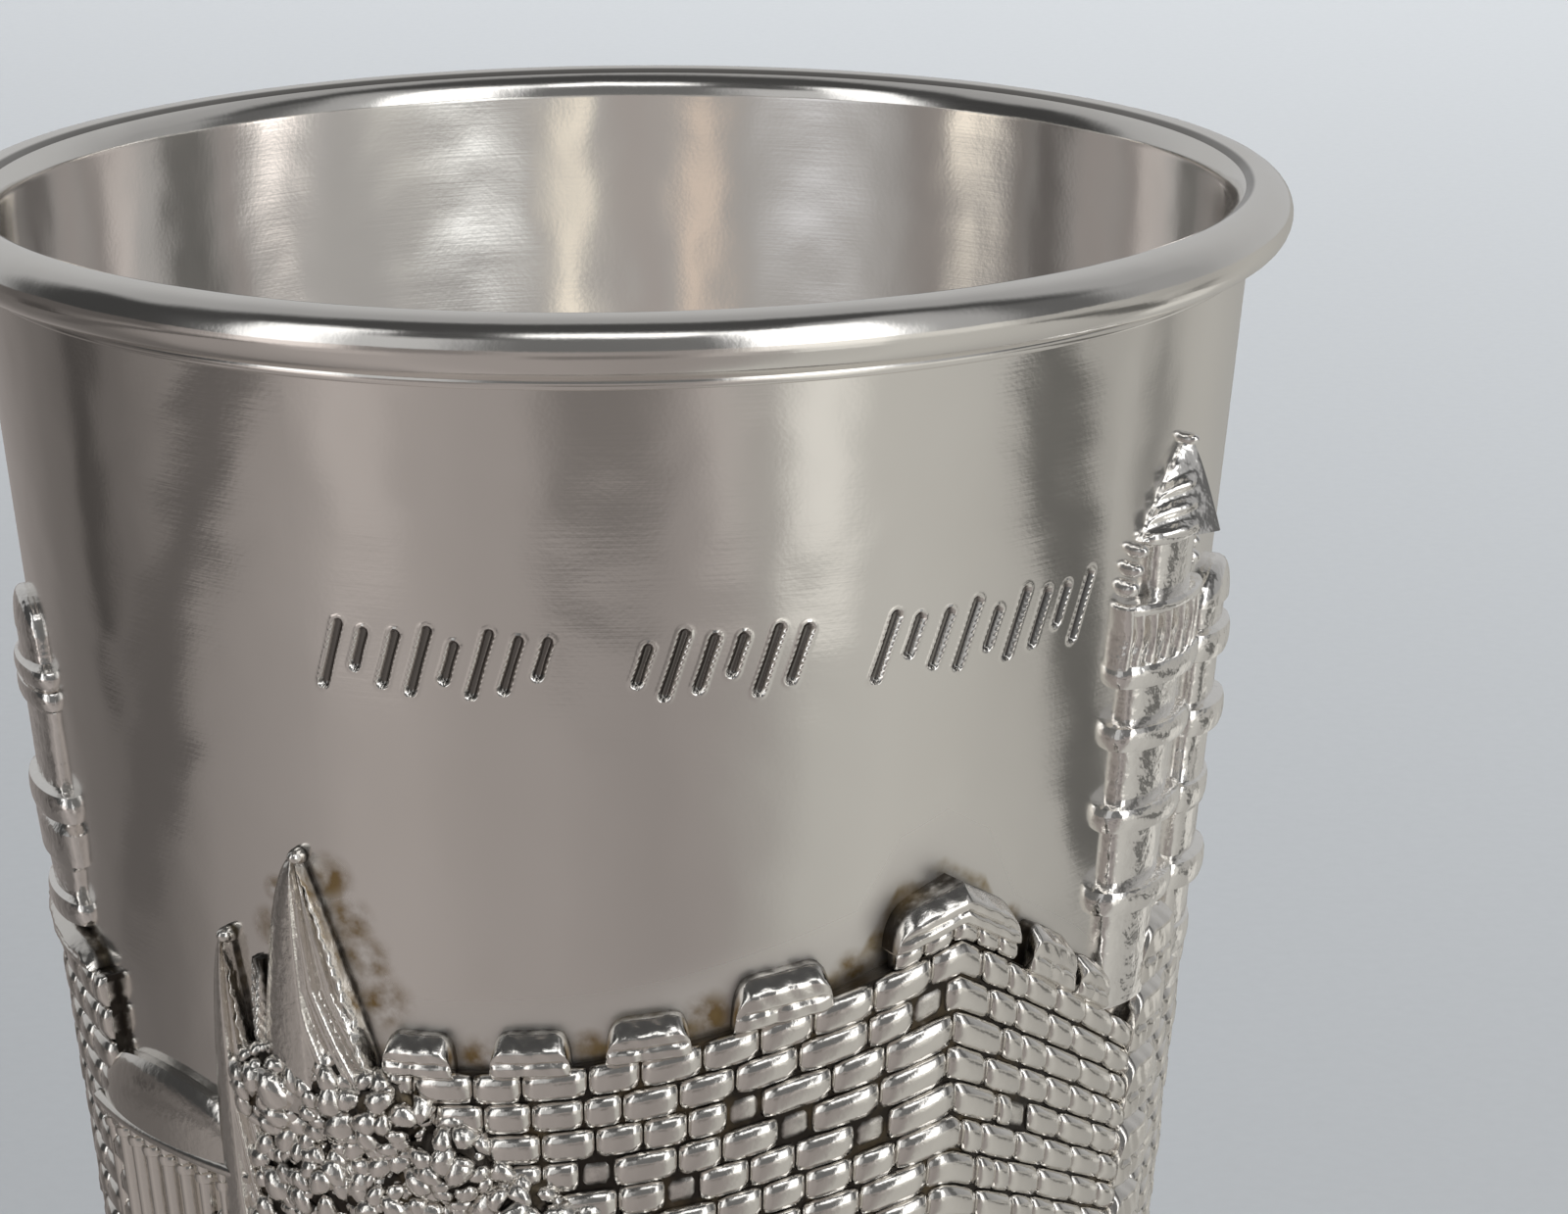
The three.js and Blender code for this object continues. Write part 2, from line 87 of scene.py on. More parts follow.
def degrees_for(length, z):
    """The angle that a length in metres covers on the wall at height z."""
    return np.degrees(length / wall_radius(z))


print("wall radius at the rim:", round(wall_radius(HEIGHT) / MM, 2), "mm")

# %% [markdown]
# ## The camera
# The cup is seen from a little above, near enough for the rim to spread into an ellipse. The
# camera stands on the front side; its direction is given by three plain turns.

# %% Camera
CAMERA_REACH = 250 * MM  # from the middle of the rim
CAMERA_LIFT = math.radians(11.14)  # above the rim's plane
LOOK_RIGHT = math.radians(1.87)
LOOK_DOWN = math.radians(15.592)
HEAD_TILT = math.radians(-0.42)
LENS, SENSOR = 119.28, 36  # in mm
RIM_CENTRE_Z = HEIGHT - 1.45 * MM


def make_camera():
    data = bpy.data.cameras.new("camera")
    data.lens = LENS
    data.sensor_width = SENSOR
    data.clip_start = 0.01
    camera = bpy.data.objects.new("camera", data)
    bpy.context.scene.collection.objects.link(camera)
    forward = Vector((math.sin(LOOK_RIGHT) * math.cos(LOOK_DOWN),
                      math.cos(LOOK_RIGHT) * math.cos(LOOK_DOWN),
                      -math.sin(LOOK_DOWN)))
    level = Vector((math.cos(LOOK_RIGHT), -math.sin(LOOK_RIGHT), 0))
    above = level.cross(forward)
    right = level * math.cos(HEAD_TILT) + above * math.sin(HEAD_TILT)
    up = right.cross(forward)
    place = Vector((0, -CAMERA_REACH * math.cos(CAMERA_LIFT),
                    RIM_CENTRE_Z + CAMERA_REACH * math.sin(CAMERA_LIFT)))
    turn = Matrix((right, up, -forward)).transposed().to_4x4()
    camera.matrix_world = Matrix.Translation(place) @ turn
    bpy.context.scene.camera = camera
    return camera


camera = make_camera()
print("camera at", [round(v / MM) for v in camera.location], "mm")

# %% [markdown]
# ## Helpers for nodes and meshes
# One function adds a node, sets it and wires it, and hands back the output that the next node
# wants. One function turns vertices and faces into a piece that rides on the cup's only body.

# %% Node helper


def wire(tree, kind, links=None, out=0, **settings):
    """Adds a node. links maps an input's name or number to a socket or a value."""
    node = tree.nodes.new(kind)
    for key, value in settings.items():
        setattr(node, key, value)
    for key, value in (links or {}).items():
        if isinstance(value, bpy.types.NodeSocket):
            tree.links.new(value, node.inputs[key])
        else:
            node.inputs[key].default_value = value
    return node.outputs[out] if len(node.outputs) else None


def from_hex(text):
    """An sRGB hex colour as linear red, green, blue and alpha."""
    channels = [int(text[place:place + 2], 16) / 255 for place in (0, 2, 4)]
    linear = [c / 12.92 if c <= 0.04045 else ((c + 0.055) / 1.055) ** 2.4 for c in channels]
    return (*linear, 1.0)


# %% Mesh helpers
SHARP_EDGE = math.radians(42)
MADE = []


def make_piece(name, vertices, faces, material, sharp=SHARP_EDGE, hollow=(0.12, 0.4), ridge=None):
    """hollow is the relief in mm below which silver stays dark and above which it is rubbed bright; on the
    merlons' bevels and the bush between the cypresses that dark is painted shade.
    """
    mesh = bpy.data.meshes.new(name)
    mesh.from_pydata(np.asarray(vertices).reshape(-1, 3).tolist(), [], faces)
    mark_rubbed_and_shade(mesh, hollow, ridge)
    return finish_piece(name, mesh, material, sharp)


def relief_of(mesh):
    """Angle, z and relief height of every point of a mesh."""
    places = np.empty(3 * len(mesh.vertices), dtype=np.float32)
    mesh.vertices.foreach_get("co", places)
    x, y, z = places.reshape(-1, 3).T
    return np.degrees(np.arctan2(x, -y)), z, np.hypot(x, y) - wall_radius(z)


def mark_rubbed_and_shade(mesh, hollow, ridge=None):
    """Writes how far the polishing cloth reaches: 0 in the hollows, 1 on what stands out; on pieces kept
    dark as painted shade, the 0 stands for that shade.
    """
    angle, z, relief = relief_of(mesh)
    if ridge is not None:
        relief = relief - ridge(angle)
    write_rubbed_and_shade(mesh, smooth_step(hollow[0] * MM, hollow[1] * MM, relief))


def write_rubbed_and_shade(mesh, amounts):
    attribute = mesh.attributes.new("rubbed_and_shade", "FLOAT", "POINT")
    attribute.data.foreach_set("value", np.asarray(amounts, dtype=np.float32).ravel())


def finish_piece(name, mesh, material, sharp=SHARP_EDGE):
    mesh.validate()
    mesh.polygons.foreach_set("use_smooth", [True] * len(mesh.polygons))
    if sharp is not None:
        mesh.set_sharp_from_angle(angle=sharp)
    mesh.materials.clear()
    mesh.materials.append(material)
    piece = bpy.data.objects.new(name, mesh)
    bpy.context.scene.collection.objects.link(piece)
    MADE.append(piece)
    triangles = sum(len(face.vertices) - 2 for face in mesh.polygons)
    print(name, "has", triangles, "triangles")
    return piece


def sheet_faces(rows, columns):
    """Faces of a closed slab: a front grid, a back grid and the four rims between them."""
    across = columns + 1
    back = across * (rows + 1)
    faces = []
    for row in range(rows):
        for column in range(columns):
            a = row * across + column
            b, c, d = a + 1, a + across + 1, a + across
            faces.append((a, b, c, d))
            faces.append((back + a, back + d, back + c, back + b))
    for column in range(columns):
        low, high = column, rows * across + column
        faces.append((low + 1, low, back + low, back + low + 1))
        faces.append((high, high + 1, back + high + 1, back + high))
    for row in range(rows):
        left, right = row * across, row * across + columns
        faces.append((left, left + across, back + left + across, back + left))
        faces.append((right + across, right, back + right, back + right + across))
    return faces


ROOT_DEPTH = 0.4 * MM


def sheet(rows, columns, shape):
    """A closed slab on the wall. shape(u, v) gives arrays of angle, z and relief height."""
    u, v = np.meshgrid(np.linspace(0, 1, columns + 1), np.linspace(0, 1, rows + 1))
    angle, z, height = shape(u, v)
    front = on_wall(angle, z, height)
    root = on_wall(angle, z, np.full_like(z, -ROOT_DEPTH))
    vertices = np.concatenate([front.reshape(-1, 3), root.reshape(-1, 3)])
    return vertices, sheet_faces(rows, columns)


def joined(parts):
    """Several (vertices, faces) as one."""
    vertices, faces, count = [], [], 0
    for some, their_faces in parts:
        vertices.append(some)
        faces.extend(tuple(count + corner for corner in face) for face in their_faces)
        count += len(some)
    return np.concatenate(vertices), faces


def smooth_step(low, high, value):
    share = np.clip((value - low) / (high - low), 0, 1)
    return share * share * (3 - 2 * share)


print("helpers ready")

# %% [markdown]
# ## Silver
# The cup is sterling silver. The plain wall was polished round and round on a lathe, so its
# gloss carries fine level lines and a soft blur up and down. In the relief the maker left the
# hollows dark: silver sulphide stays where the polishing cloth can't reach. Each point of the
# relief carries how far the cloth got there; the same mark also keeps the merlons' bevels and
# one bush dark, and there the dark is painted shade. The turned wall works its strokes' depth
# out of the Object coordinates instead, because only they are finer than its points.

# %% Silver materials
FORT_TOP, FORT_FOOT = 49.75 * MM, 21.99 * MM
FORT_CORNER, FORT_RISE, FORT_BOW, FORT_FALL = 31.0, 0.2 * MM, 0.0018 * MM, -0.285 * MM
CORNER_EXTRA = 2.5 * MM
SILVER = from_hex("F2F0ED")
SILVER_WORN = from_hex("EBE8E3")
# A slightly brighter silver for the towers: a painted highlight for the sparkle of their rounds.
SILVER_HIGHLIGHT_TINT = from_hex("F6F4F1")
# Oxide of the relief's hollows; the same colour is painted shade on the merlons' bevels and on the bush
# between the cypresses.
OXIDE_AND_PAINTED_SHADE = from_hex("3E3A36")
JOINT_TARNISH = from_hex("6B604E")
BROWN_TARNISH = from_hex("7A6555")
YELLOW_TARNISH = from_hex("A58F62")


def relief_height(tree):
    """Height above the plain wall, in metres, from the object's own coordinates."""
    place = wire(tree, "ShaderNodeTexCoord", out="Object")
    x = wire(tree, "ShaderNodeSeparateXYZ", {0: place}, out="X")
    y = x.node.outputs["Y"]
    z = x.node.outputs["Z"]
    flat = wire(tree, "ShaderNodeCombineXYZ", {0: x, 1: y})
    radius = wire(tree, "ShaderNodeVectorMath", {0: flat}, out="Value", operation="LENGTH")
    wall = wire(tree, "ShaderNodeMath", {0: z, 1: WALL_SPREAD, 2: BASE_RADIUS}, operation="MULTIPLY_ADD")
    return place, wire(tree, "ShaderNodeMath", {0: radius, 1: wall}, operation="SUBTRACT")


def new_material(name):
    material = bpy.data.materials.new(name)
    material.use_nodes = True
    tree = material.node_tree
    tree.nodes.clear()
    return material, tree


LINE_LENGTH, LINE_PITCH = 6 * MM, 0.16 * MM  # of the marks that the polishing wheel left
GRAIN_DEPTH = 0.02 * MM
SPECK = 0.22 * MM
CLOUD = 9 * MM  # patches where the polish is a little better or worse
SHEET_WAVE, SHEET_DEPTH = 7 * MM, 0.17 * MM  # the sheet's own unevenness
STAIN_PATCH, FILM_PATCH = 1.1 * MM, 1.6 * MM  # tarnish in spots, and the thin film near the relief
RAGGED_EDGE, BROWN_PATCH = 0.5 * MM, 2.6 * MM  # of the oxide in the relief's hollows
PIT, TOWER_PIT = 0.45 * MM, 1.1 * MM  # dents of the casting


def polish_lines(tree, place):
    """Fine level lines left by polishing: noise that changes fast with z and slowly around."""
    scale = (1 / LINE_LENGTH, 1 / LINE_LENGTH, 1 / LINE_PITCH)
    stretched = wire(tree, "ShaderNodeMapping", {"Vector": place, "Scale": scale})
    return wire(tree, "ShaderNodeTexNoise",
                {"Vector": stretched, "Scale": 1.0, "Detail": 2.0, "Roughness": 0.6})


def stain(tree, place, mask, angle, z, radius):
    """Adds a soft round spot of tarnish at a place on the wall to a mask."""
    middle = tuple(on_wall(np.array(angle), np.array(z), 0.0))
    away = wire(tree, "ShaderNodeVectorMath", {0: place, 1: middle}, out="Value", operation="DISTANCE")
    spot = wire(tree, "ShaderNodeMapRange",
                {"Value": away, "From Min": radius, "From Max": radius * 0.25,
                 "To Min": 0.0, "To Max": 1.0},
                interpolation_type="SMOOTHSTEP")
    return spot if mask is None else wire(tree, "ShaderNodeMath", {0: mask, 1: spot}, operation="MAXIMUM")


STROKE_OXIDE = 0.8  # a stroke's floor is a little rubbed too
CORNER_NEAR, CORNER_FAR = 5.0, 9.0  # degrees from the corner where the crowning block ends
DULL_MIDDLE, DULL_FULL, DULL_END = 14.0, 36.0, 46.0  # degrees; the dull strip lies over the fortress
DULL_REACH = 4.4 * MM
TARNISH_REACH = 1.2 * MM
DULL_ROUGHNESS = 0.42


def beside_relief(tree, place):
    """Two masks, wide and narrow, of the wall just above the fortress, where no cloth got in."""
    x = wire(tree, "ShaderNodeSeparateXYZ", {0: place}, out="X")
    forward = wire(tree, "ShaderNodeMath", {0: x.node.outputs["Y"], 1: -1.0}, operation="MULTIPLY")
    turn = wire(tree, "ShaderNodeMath", {0: x, 1: forward}, operation="ARCTAN2")
    angle = wire(tree, "ShaderNodeMath", {0: turn}, operation="DEGREES")
    offset = wire(tree, "ShaderNodeMath", {0: angle, 1: FORT_CORNER}, operation="SUBTRACT")
    bow = wire(tree, "ShaderNodeMath", {0: offset, 1: FORT_BOW, 2: FORT_RISE}, operation="MULTIPLY_ADD")
    left = wire(tree, "ShaderNodeMath", {0: offset, 1: bow}, operation="MULTIPLY")
    right = wire(tree, "ShaderNodeMath", {0: offset, 1: FORT_FALL}, operation="MULTIPLY")
    lower = wire(tree, "ShaderNodeMath", {0: left, 1: right}, operation="MINIMUM")
    walk = wire(tree, "ShaderNodeMath", {0: lower, 1: FORT_TOP}, operation="ADD")
    above = wire(tree, "ShaderNodeMath", {0: x.node.outputs["Z"], 1: walk}, operation="SUBTRACT")
    near_corner = wire(tree, "ShaderNodeMath", {0: offset}, operation="ABSOLUTE")
    extra = wire(tree, "ShaderNodeMapRange",
                 {"Value": near_corner, "From Min": CORNER_NEAR, "From Max": CORNER_FAR,
                  "To Min": CORNER_EXTRA, "To Max": 0.0})
    level = wire(tree, "ShaderNodeMath", {0: above, 1: extra}, operation="SUBTRACT")
    middle = wire(tree, "ShaderNodeMath", {0: angle, 1: DULL_MIDDLE}, operation="SUBTRACT")
    far_side = wire(tree, "ShaderNodeMath", {0: middle}, operation="ABSOLUTE")
    within = wire(tree, "ShaderNodeMapRange",
                  {"Value": far_side, "From Min": DULL_END, "From Max": DULL_FULL,
                   "To Min": 0.0, "To Max": 1.0})
    return [wire(tree, "ShaderNodeMapRange",
                 {"Value": level, "From Min": reach, "From Max": 0.5 * reach,
                  "To Min": 0.0, "To Max": within},
                 interpolation_type="SMOOTHSTEP") for reach in (DULL_REACH, TARNISH_REACH)]


def spun_silver(name, roughness, blur, stains=()):
    """Silver polished on a lathe. stains are (angle, z, radius) of tarnish spots."""
    material, tree = new_material(name)
    place, height = relief_height(tree)
    beside, close = beside_relief(tree, place)
    lines = polish_lines(tree, place)
    specks = wire(tree, "ShaderNodeTexNoise", {"Vector": place, "Scale": 1 / SPECK, "Detail": 1.0})
    clouds = wire(tree, "ShaderNodeTexNoise", {"Vector": place, "Scale": 1 / CLOUD, "Detail": 3.0})
    sunk = wire(tree, "ShaderNodeMapRange",
                {"Value": height, "From Min": -0.05 * MM, "From Max": -0.2 * MM,
                 "To Min": 0.0, "To Max": 1.0})
    inside = wire(tree, "ShaderNodeMath", {0: height, 1: -0.5 * MM}, operation="GREATER_THAN")
    in_stroke = wire(tree, "ShaderNodeMath", {0: sunk, 1: inside}, operation="MULTIPLY")
    dark = wire(tree, "ShaderNodeMath", {0: in_stroke, 1: STROKE_OXIDE}, operation="MULTIPLY")
    tone = wire(tree, "ShaderNodeMix", {0: clouds, 6: SILVER, 7: SILVER_WORN}, out=2, data_type="RGBA")
    mask = None
    for angle, z, radius in stains:
        mask = stain(tree, place, mask, angle, z, radius)
    if mask is not None:
        ragged = wire(tree, "ShaderNodeTexNoise",
                      {"Vector": place, "Scale": 1 / STAIN_PATCH, "Detail": 4.0})
        patchy = wire(tree, "ShaderNodeMapRange", {"Value": ragged, "From Min": 0.35, "From Max": 0.65})
        amount = wire(tree, "ShaderNodeMath", {0: mask, 1: patchy}, operation="MULTIPLY")
        stained = wire(tree, "ShaderNodeMix", {0: ragged, 6: BROWN_TARNISH, 7: YELLOW_TARNISH}, out=2,
                       data_type="RGBA")
        tone = wire(tree, "ShaderNodeMix", {0: amount, 6: tone, 7: stained}, out=2, data_type="RGBA")
    film = wire(tree, "ShaderNodeTexNoise", {"Vector": place, "Scale": 1 / FILM_PATCH, "Detail": 4.0})
    filmed = wire(tree, "ShaderNodeMapRange", {"Value": film, "From Min": 0.4, "From Max": 0.7})
    tarnish = wire(tree, "ShaderNodeMath", {0: close, 1: filmed}, operation="MULTIPLY")
    tone = wire(tree, "ShaderNodeMix", {0: tarnish, 6: tone, 7: YELLOW_TARNISH}, out=2, data_type="RGBA")
    oxidised = wire(tree, "ShaderNodeMix", {0: dark, 6: tone, 7: OXIDE_AND_PAINTED_SHADE}, out=2, data_type="RGBA")
    polish = wire(tree, "ShaderNodeMapRange",
                  {"Value": clouds, "From Min": 0.3, "From Max": 0.7,
                   "To Min": roughness * 0.85, "To Max": roughness * 1.2})
    dull = wire(tree, "ShaderNodeMath", {0: beside, 1: mask}, operation="MAXIMUM") if stains else beside
    rough = wire(tree, "ShaderNodeMix", {0: dull, 2: polish, 3: DULL_ROUGHNESS})
    grain = wire(tree, "ShaderNodeMath", {0: lines, 1: specks}, operation="ADD")
    fine = wire(tree, "ShaderNodeBump", {"Height": grain, "Strength": 0.1, "Distance": GRAIN_DEPTH})
    uneven = wire(tree, "ShaderNodeTexNoise", {"Vector": place, "Scale": 1 / SHEET_WAVE, "Detail": 1.5})
    bump = wire(tree, "ShaderNodeBump",
                {"Height": uneven, "Strength": 1.0, "Distance": SHEET_DEPTH, "Normal": fine})
    shader = wire(tree, "ShaderNodeBsdfPrincipled",
                  {"Base Color": oxidised, "Metallic": 1.0, "Roughness": rough, "Normal": bump,
                   "Anisotropic": blur})
    wire(tree, "ShaderNodeOutputMaterial", {"Surface": shader})
    return material


def cast_silver(name, roughness, tint, dents, pit=PIT):
    """Silver relief: dark in the hollows, rubbed bright on what stands out. The dark is oxide, and on the
    merlons' bevels and the bush between the cypresses it is painted shade.
    """
    material, tree = new_material(name)
    place = wire(tree, "ShaderNodeTexCoord", out="Object")
    reach = wire(tree, "ShaderNodeAttribute", out="Fac", attribute_name="rubbed_and_shade")
    ragged = wire(tree, "ShaderNodeTexNoise", {"Vector": place, "Scale": 1 / RAGGED_EDGE, "Detail": 3.0})
    worn = wire(tree, "ShaderNodeMath", {0: ragged, 1: 0.5, 2: reach}, operation="MULTIPLY_ADD")
    rubbed_and_shade = wire(tree, "ShaderNodeMapRange",
                  {"Value": worn, "From Min": 0.3, "From Max": 0.85, "To Min": 0.0, "To Max": 1.0},
                  interpolation_type="SMOOTHSTEP")
    blotches = wire(tree, "ShaderNodeTexNoise", {"Vector": place, "Scale": 1 / BROWN_PATCH, "Detail": 4.0})
    brown = wire(tree, "ShaderNodeMapRange", {"Value": blotches, "From Min": 0.5, "From Max": 0.68})
    hollow = wire(tree, "ShaderNodeMix", {0: brown, 6: OXIDE_AND_PAINTED_SHADE, 7: JOINT_TARNISH}, out=2, data_type="RGBA")
    tone = wire(tree, "ShaderNodeMix", {0: rubbed_and_shade, 6: hollow, 7: tint}, out=2, data_type="RGBA")
    rough = wire(tree, "ShaderNodeMapRange",
                 {"Value": rubbed_and_shade, "From Min": 0.0, "From Max": 1.0, "To Min": 0.4, "To Max": roughness})
    pits = wire(tree, "ShaderNodeTexNoise", {"Vector": place, "Scale": 1 / pit, "Detail": 3.0})
    bump = wire(tree, "ShaderNodeBump", {"Height": pits, "Strength": dents, "Distance": 0.14 * pit})
    shader = wire(tree, "ShaderNodeBsdfPrincipled",
                  {"Base Color": tone, "Metallic": 1.0, "Roughness": rough, "Normal": bump})
    wire(tree, "ShaderNodeOutputMaterial", {"Surface": shader})
    return material


WALL_STAINS = [
    (-28.3, 53.0 * MM, 1.6 * MM), (-26.6, 51.0 * MM, 1.7 * MM), (-25.2, 49.2 * MM, 1.8 * MM),
    (-23.6, 47.2 * MM, 1.9 * MM), (-35.5, 50 * MM, 1.3 * MM), (-34.3, 52 * MM, 0.9 * MM),
    (-14.4, 45.0 * MM, 1.3 * MM), (-3.6, 45.7 * MM, 1.1 * MM), (7.8, 47.0 * MM, 1.6 * MM),
    (21.6, 48.6 * MM, 1.2 * MM), (39.5, 49.4 * MM, 0.9 * MM),
]
wall_silver = spun_silver("polished_sterling_silver", 0.13, 0.35, WALL_STAINS)
stone_silver = cast_silver("oxidised_relief_silver_with_painted_shade", 0.16, SILVER_WORN, 0.35)
leaf_silver = cast_silver("oxidised_foliage_silver_with_painted_shade", 0.18, SILVER_WORN, 0.9)
# The towers take the brighter tint, a painted highlight.
tower_silver = cast_silver("oxidised_tower_silver_with_painted_highlight", 0.15, SILVER_HIGHLIGHT_TINT, 0.8, TOWER_PIT)
print("materials:", len(bpy.data.materials))

# %% [markdown]
# ## The vessel
# The real cup was spun from one disc of silver sheet: foot ring, wall, and a rim rolled outward
# into a bead. A Screw modifier could turn the section, but the punched strokes need a wall that
# is much finer in one place, so the section is turned by code with its own list of angles.
# The punched strokes are shallow slanted marks; a distance to each stroke's middle line gives
# the depth, and a low burr stands where the punch pushed the metal aside.

# %% The section of the vessel
BEAD_RADIUS = 1.45 * MM
LIP_HEIGHT = 0.6 * MM
LIP_PROUD = 0.22 * MM
FLOOR_Z = 2 * MM
FLOOR_FILLET = 2.5 * MM
FOOT_RADIUS = 23.1 * MM
FOOT_HEIGHT = 1.8 * MM
FOOT_CHAMFER = 0.5 * MM
FOOT_RING = 2.6 * MM
FOOT_RECESS = 0.8 * MM
STROKE_BAND = (61.6 * MM, 66.2 * MM)
FINE_STEP = 0.085 * MM


def arc(centre, radius, start, end, steps):
    turns = np.radians(np.linspace(start, end, steps + 1))
    return [(centre[0] + radius * math.cos(t), centre[1] + radius * math.sin(t)) for t in turns]


def vessel_section():
    """Outline of the cup's wall as (radius, z), from the underside's middle to the floor's."""
    bead_centre = (RIM_RADIUS - BEAD_RADIUS, HEIGHT - BEAD_RADIUS)
    lip_top = bead_centre[1] - BEAD_RADIUS
    lip_low = lip_top - LIP_HEIGHT
    inner = lambda z: wall_radius(z) - WALL_THICKNESS
    ring_inner = FOOT_RADIUS - FOOT_CHAMFER - FOOT_RING
    foot_edge = (FOOT_RADIUS - FOOT_CHAMFER, FOOT_CHAMFER)
    section = [(0, FOOT_RECESS), (ring_inner * 0.5, FOOT_RECESS), (ring_inner - 1.0 * MM, FOOT_RECESS)]
    section += arc((ring_inner - 0.4 * MM, FOOT_RECESS - 0.4 * MM), 0.4 * MM, 90, 0, 3)
    section += [(ring_inner + 0.05 * MM, 0.05 * MM), (ring_inner + 0.15 * MM, 0)]
    section += arc(foot_edge, FOOT_CHAMFER, -90, 0, 5)
    section += arc((FOOT_RADIUS - 0.3 * MM, FOOT_HEIGHT), 0.3 * MM, 0, 80, 4)
    section += [(wall_radius(z), z) for z in np.array([2.6, 3.2, 4.5, 6.5]) * MM]
    section += [(wall_radius(z), z) for z in np.linspace(8.5 * MM, STROKE_BAND[0] - 0.5 * MM, 15)]
    band = np.arange(STROKE_BAND[0], STROKE_BAND[1], FINE_STEP)
    section += [(wall_radius(z), z) for z in band]
    section += [(wall_radius(z), z) for z in np.linspace(STROKE_BAND[1] + 0.3 * MM, lip_low - 0.25 * MM, 6)]
    proud = wall_radius(lip_low) + LIP_PROUD
    section += [(wall_radius(lip_low), lip_low), (proud - 0.05 * MM, lip_low + 0.06 * MM),
                (proud, lip_low + 0.16 * MM), (proud, lip_top - 0.16 * MM),
                (proud - 0.08 * MM, lip_top - 0.02 * MM)]
    section += arc(bead_centre, BEAD_RADIUS, -104, 180, 26)
    section += [(inner(z), z) for z in np.linspace(HEIGHT - 2.6 * MM, FLOOR_Z + FLOOR_FILLET, 9)]
    fillet_centre = (inner(FLOOR_Z + FLOOR_FILLET) - FLOOR_FILLET, FLOOR_Z + FLOOR_FILLET)
    section += arc(fillet_centre, FLOOR_FILLET, -8, -90, 6)
    section += [(fillet_centre[0] * share, FLOOR_Z) for share in (0.7, 0.35, 0)]
    return np.array(section)


# %% Punched strokes
STROKE_Z = 63.9 * MM
STROKE_HEIGHT = 3 * MM
STROKE_WIDTH = 0.5 * MM
STROKE_DEPTH = 0.26 * MM
STROKE_LEAN = 0.32
STROKE_SPACING = 2.75
BURR_HEIGHT = 0.05 * MM
BURR_WIDTH = 0.11 * MM
STROKE_GROUPS = [
    (-26.0, [1, 0.55, 0.8, 1, 0.55, 1, 0.8, 0.55]),
    (1.8, [0.55, 1, 0.8, 0.55, 1, 0.8]),
    (23.6, [1, 0.55, 0.8, 1, 0.55, 1, 0.8, 0.55, 1]),
]


def stroke_list():
    """Each stroke as its middle's angle and z, and its length."""
    strokes = []
    for start, lengths in STROKE_GROUPS:
        for place, share in enumerate(lengths):
            length = STROKE_HEIGHT * share
            middle = STROKE_Z + (0 if place % 2 == 0 else (STROKE_HEIGHT - length) / 4)
            strokes.append((start + place * STROKE_SPACING, middle, length))
    return strokes


def stroke_offset(angle, z):
    """How far the wall moves outward at each place: down in a stroke, up on its burr."""
    offset = np.zeros_like(angle)
    for middle_angle, middle_z, length in stroke_list():
        sideways = np.radians(angle - middle_angle) * wall_radius(z)
        upward = z - middle_z
        slant = np.array([STROKE_LEAN, 1.0]) / math.hypot(STROKE_LEAN, 1.0)
        along = np.clip(sideways * slant[0] + upward * slant[1], -length / 2, length / 2)
        away = np.hypot(sideways - along * slant[0], upward - along * slant[1])
        width = STROKE_WIDTH * (0.86 + 0.2 * np.abs(along) / length)
        edge = away - width / 2
        cut = -STROKE_DEPTH * smooth_step(0.08 * MM, -0.16 * MM, edge)
        burr = BURR_HEIGHT * np.exp(-((edge - 0.07 * MM) / (BURR_WIDTH / 2)) ** 2)
        offset = np.where(np.abs(edge) < 2 * MM, offset + cut + burr, offset)
    return offset


# %% Turn the vessel
FINE_ARC = (-28.5, 49.0)
FINE_ANGLE = 0.17
COARSE_ANGLE = 1.5


def turned_vessel():
    section = vessel_section()
    fine = np.arange(FINE_ARC[0], FINE_ARC[1], FINE_ANGLE)
    coarse_arc = 360 - FINE_ARC[1] + FINE_ARC[0]
    coarse = np.linspace(FINE_ARC[1], 360 + FINE_ARC[0], int(coarse_arc / COARSE_ANGLE))[:-1]
    angles = np.concatenate([fine, coarse])
    rings = section[1:-1]
    angle, radius = np.meshgrid(angles, rings[:, 0])
    z = np.meshgrid(angles, rings[:, 1])[1]
    on_band = (z > STROKE_BAND[0]) & (z < STROKE_BAND[1]) & (radius > wall_radius(z) - WALL_THICKNESS / 2)
    radius = radius + np.where(on_band, stroke_offset(angle, z), 0)
    body = around(radius, angle, z).reshape(-1, 3)
    vertices = np.concatenate([body, [[0, 0, section[0][1]], [0, 0, section[-1][1]]]])
    count, levels = len(angles), len(rings)
    faces = []
    for level in range(levels - 1):
        for place in range(count):
            beside = (place + 1) % count
            faces.append((level * count + place, level * count + beside,
                          (level + 1) * count + beside, (level + 1) * count + place))
    under, floor = count * levels, count * levels + 1
    for place in range(count):
        beside = (place + 1) % count
        faces.append((under, beside, place))
        faces.append((floor, (levels - 1) * count + place, (levels - 1) * count + beside))
    return vertices, faces


cup = make_piece("cup_vessel", *turned_vessel(), wall_silver, sharp=math.radians(60))

# %% [markdown]
# ## The town wall's stones
# The walls are laid in courses of small stones, each a little pillow with dark joints round it.
# Modelling them one by one would be long, and a bump map would leave the outline flat. So one
# stone is modelled, code lays the courses out as points with a size for each stone, and a
# Geometry Nodes tree puts a stone on every point, fans the courses towards the fortress corner
# and wraps them on the cone. The same tree builds every wall from other numbers.

# %% One stone
STONE_ACROSS = np.array([-1, -0.975, -0.9, -0.55, 0, 0.55, 0.9, 0.975, 1])
STONE_UPWARD = np.array([-1, -0.96, -0.82, -0.35, 0.35, 0.82, 0.96, 1])


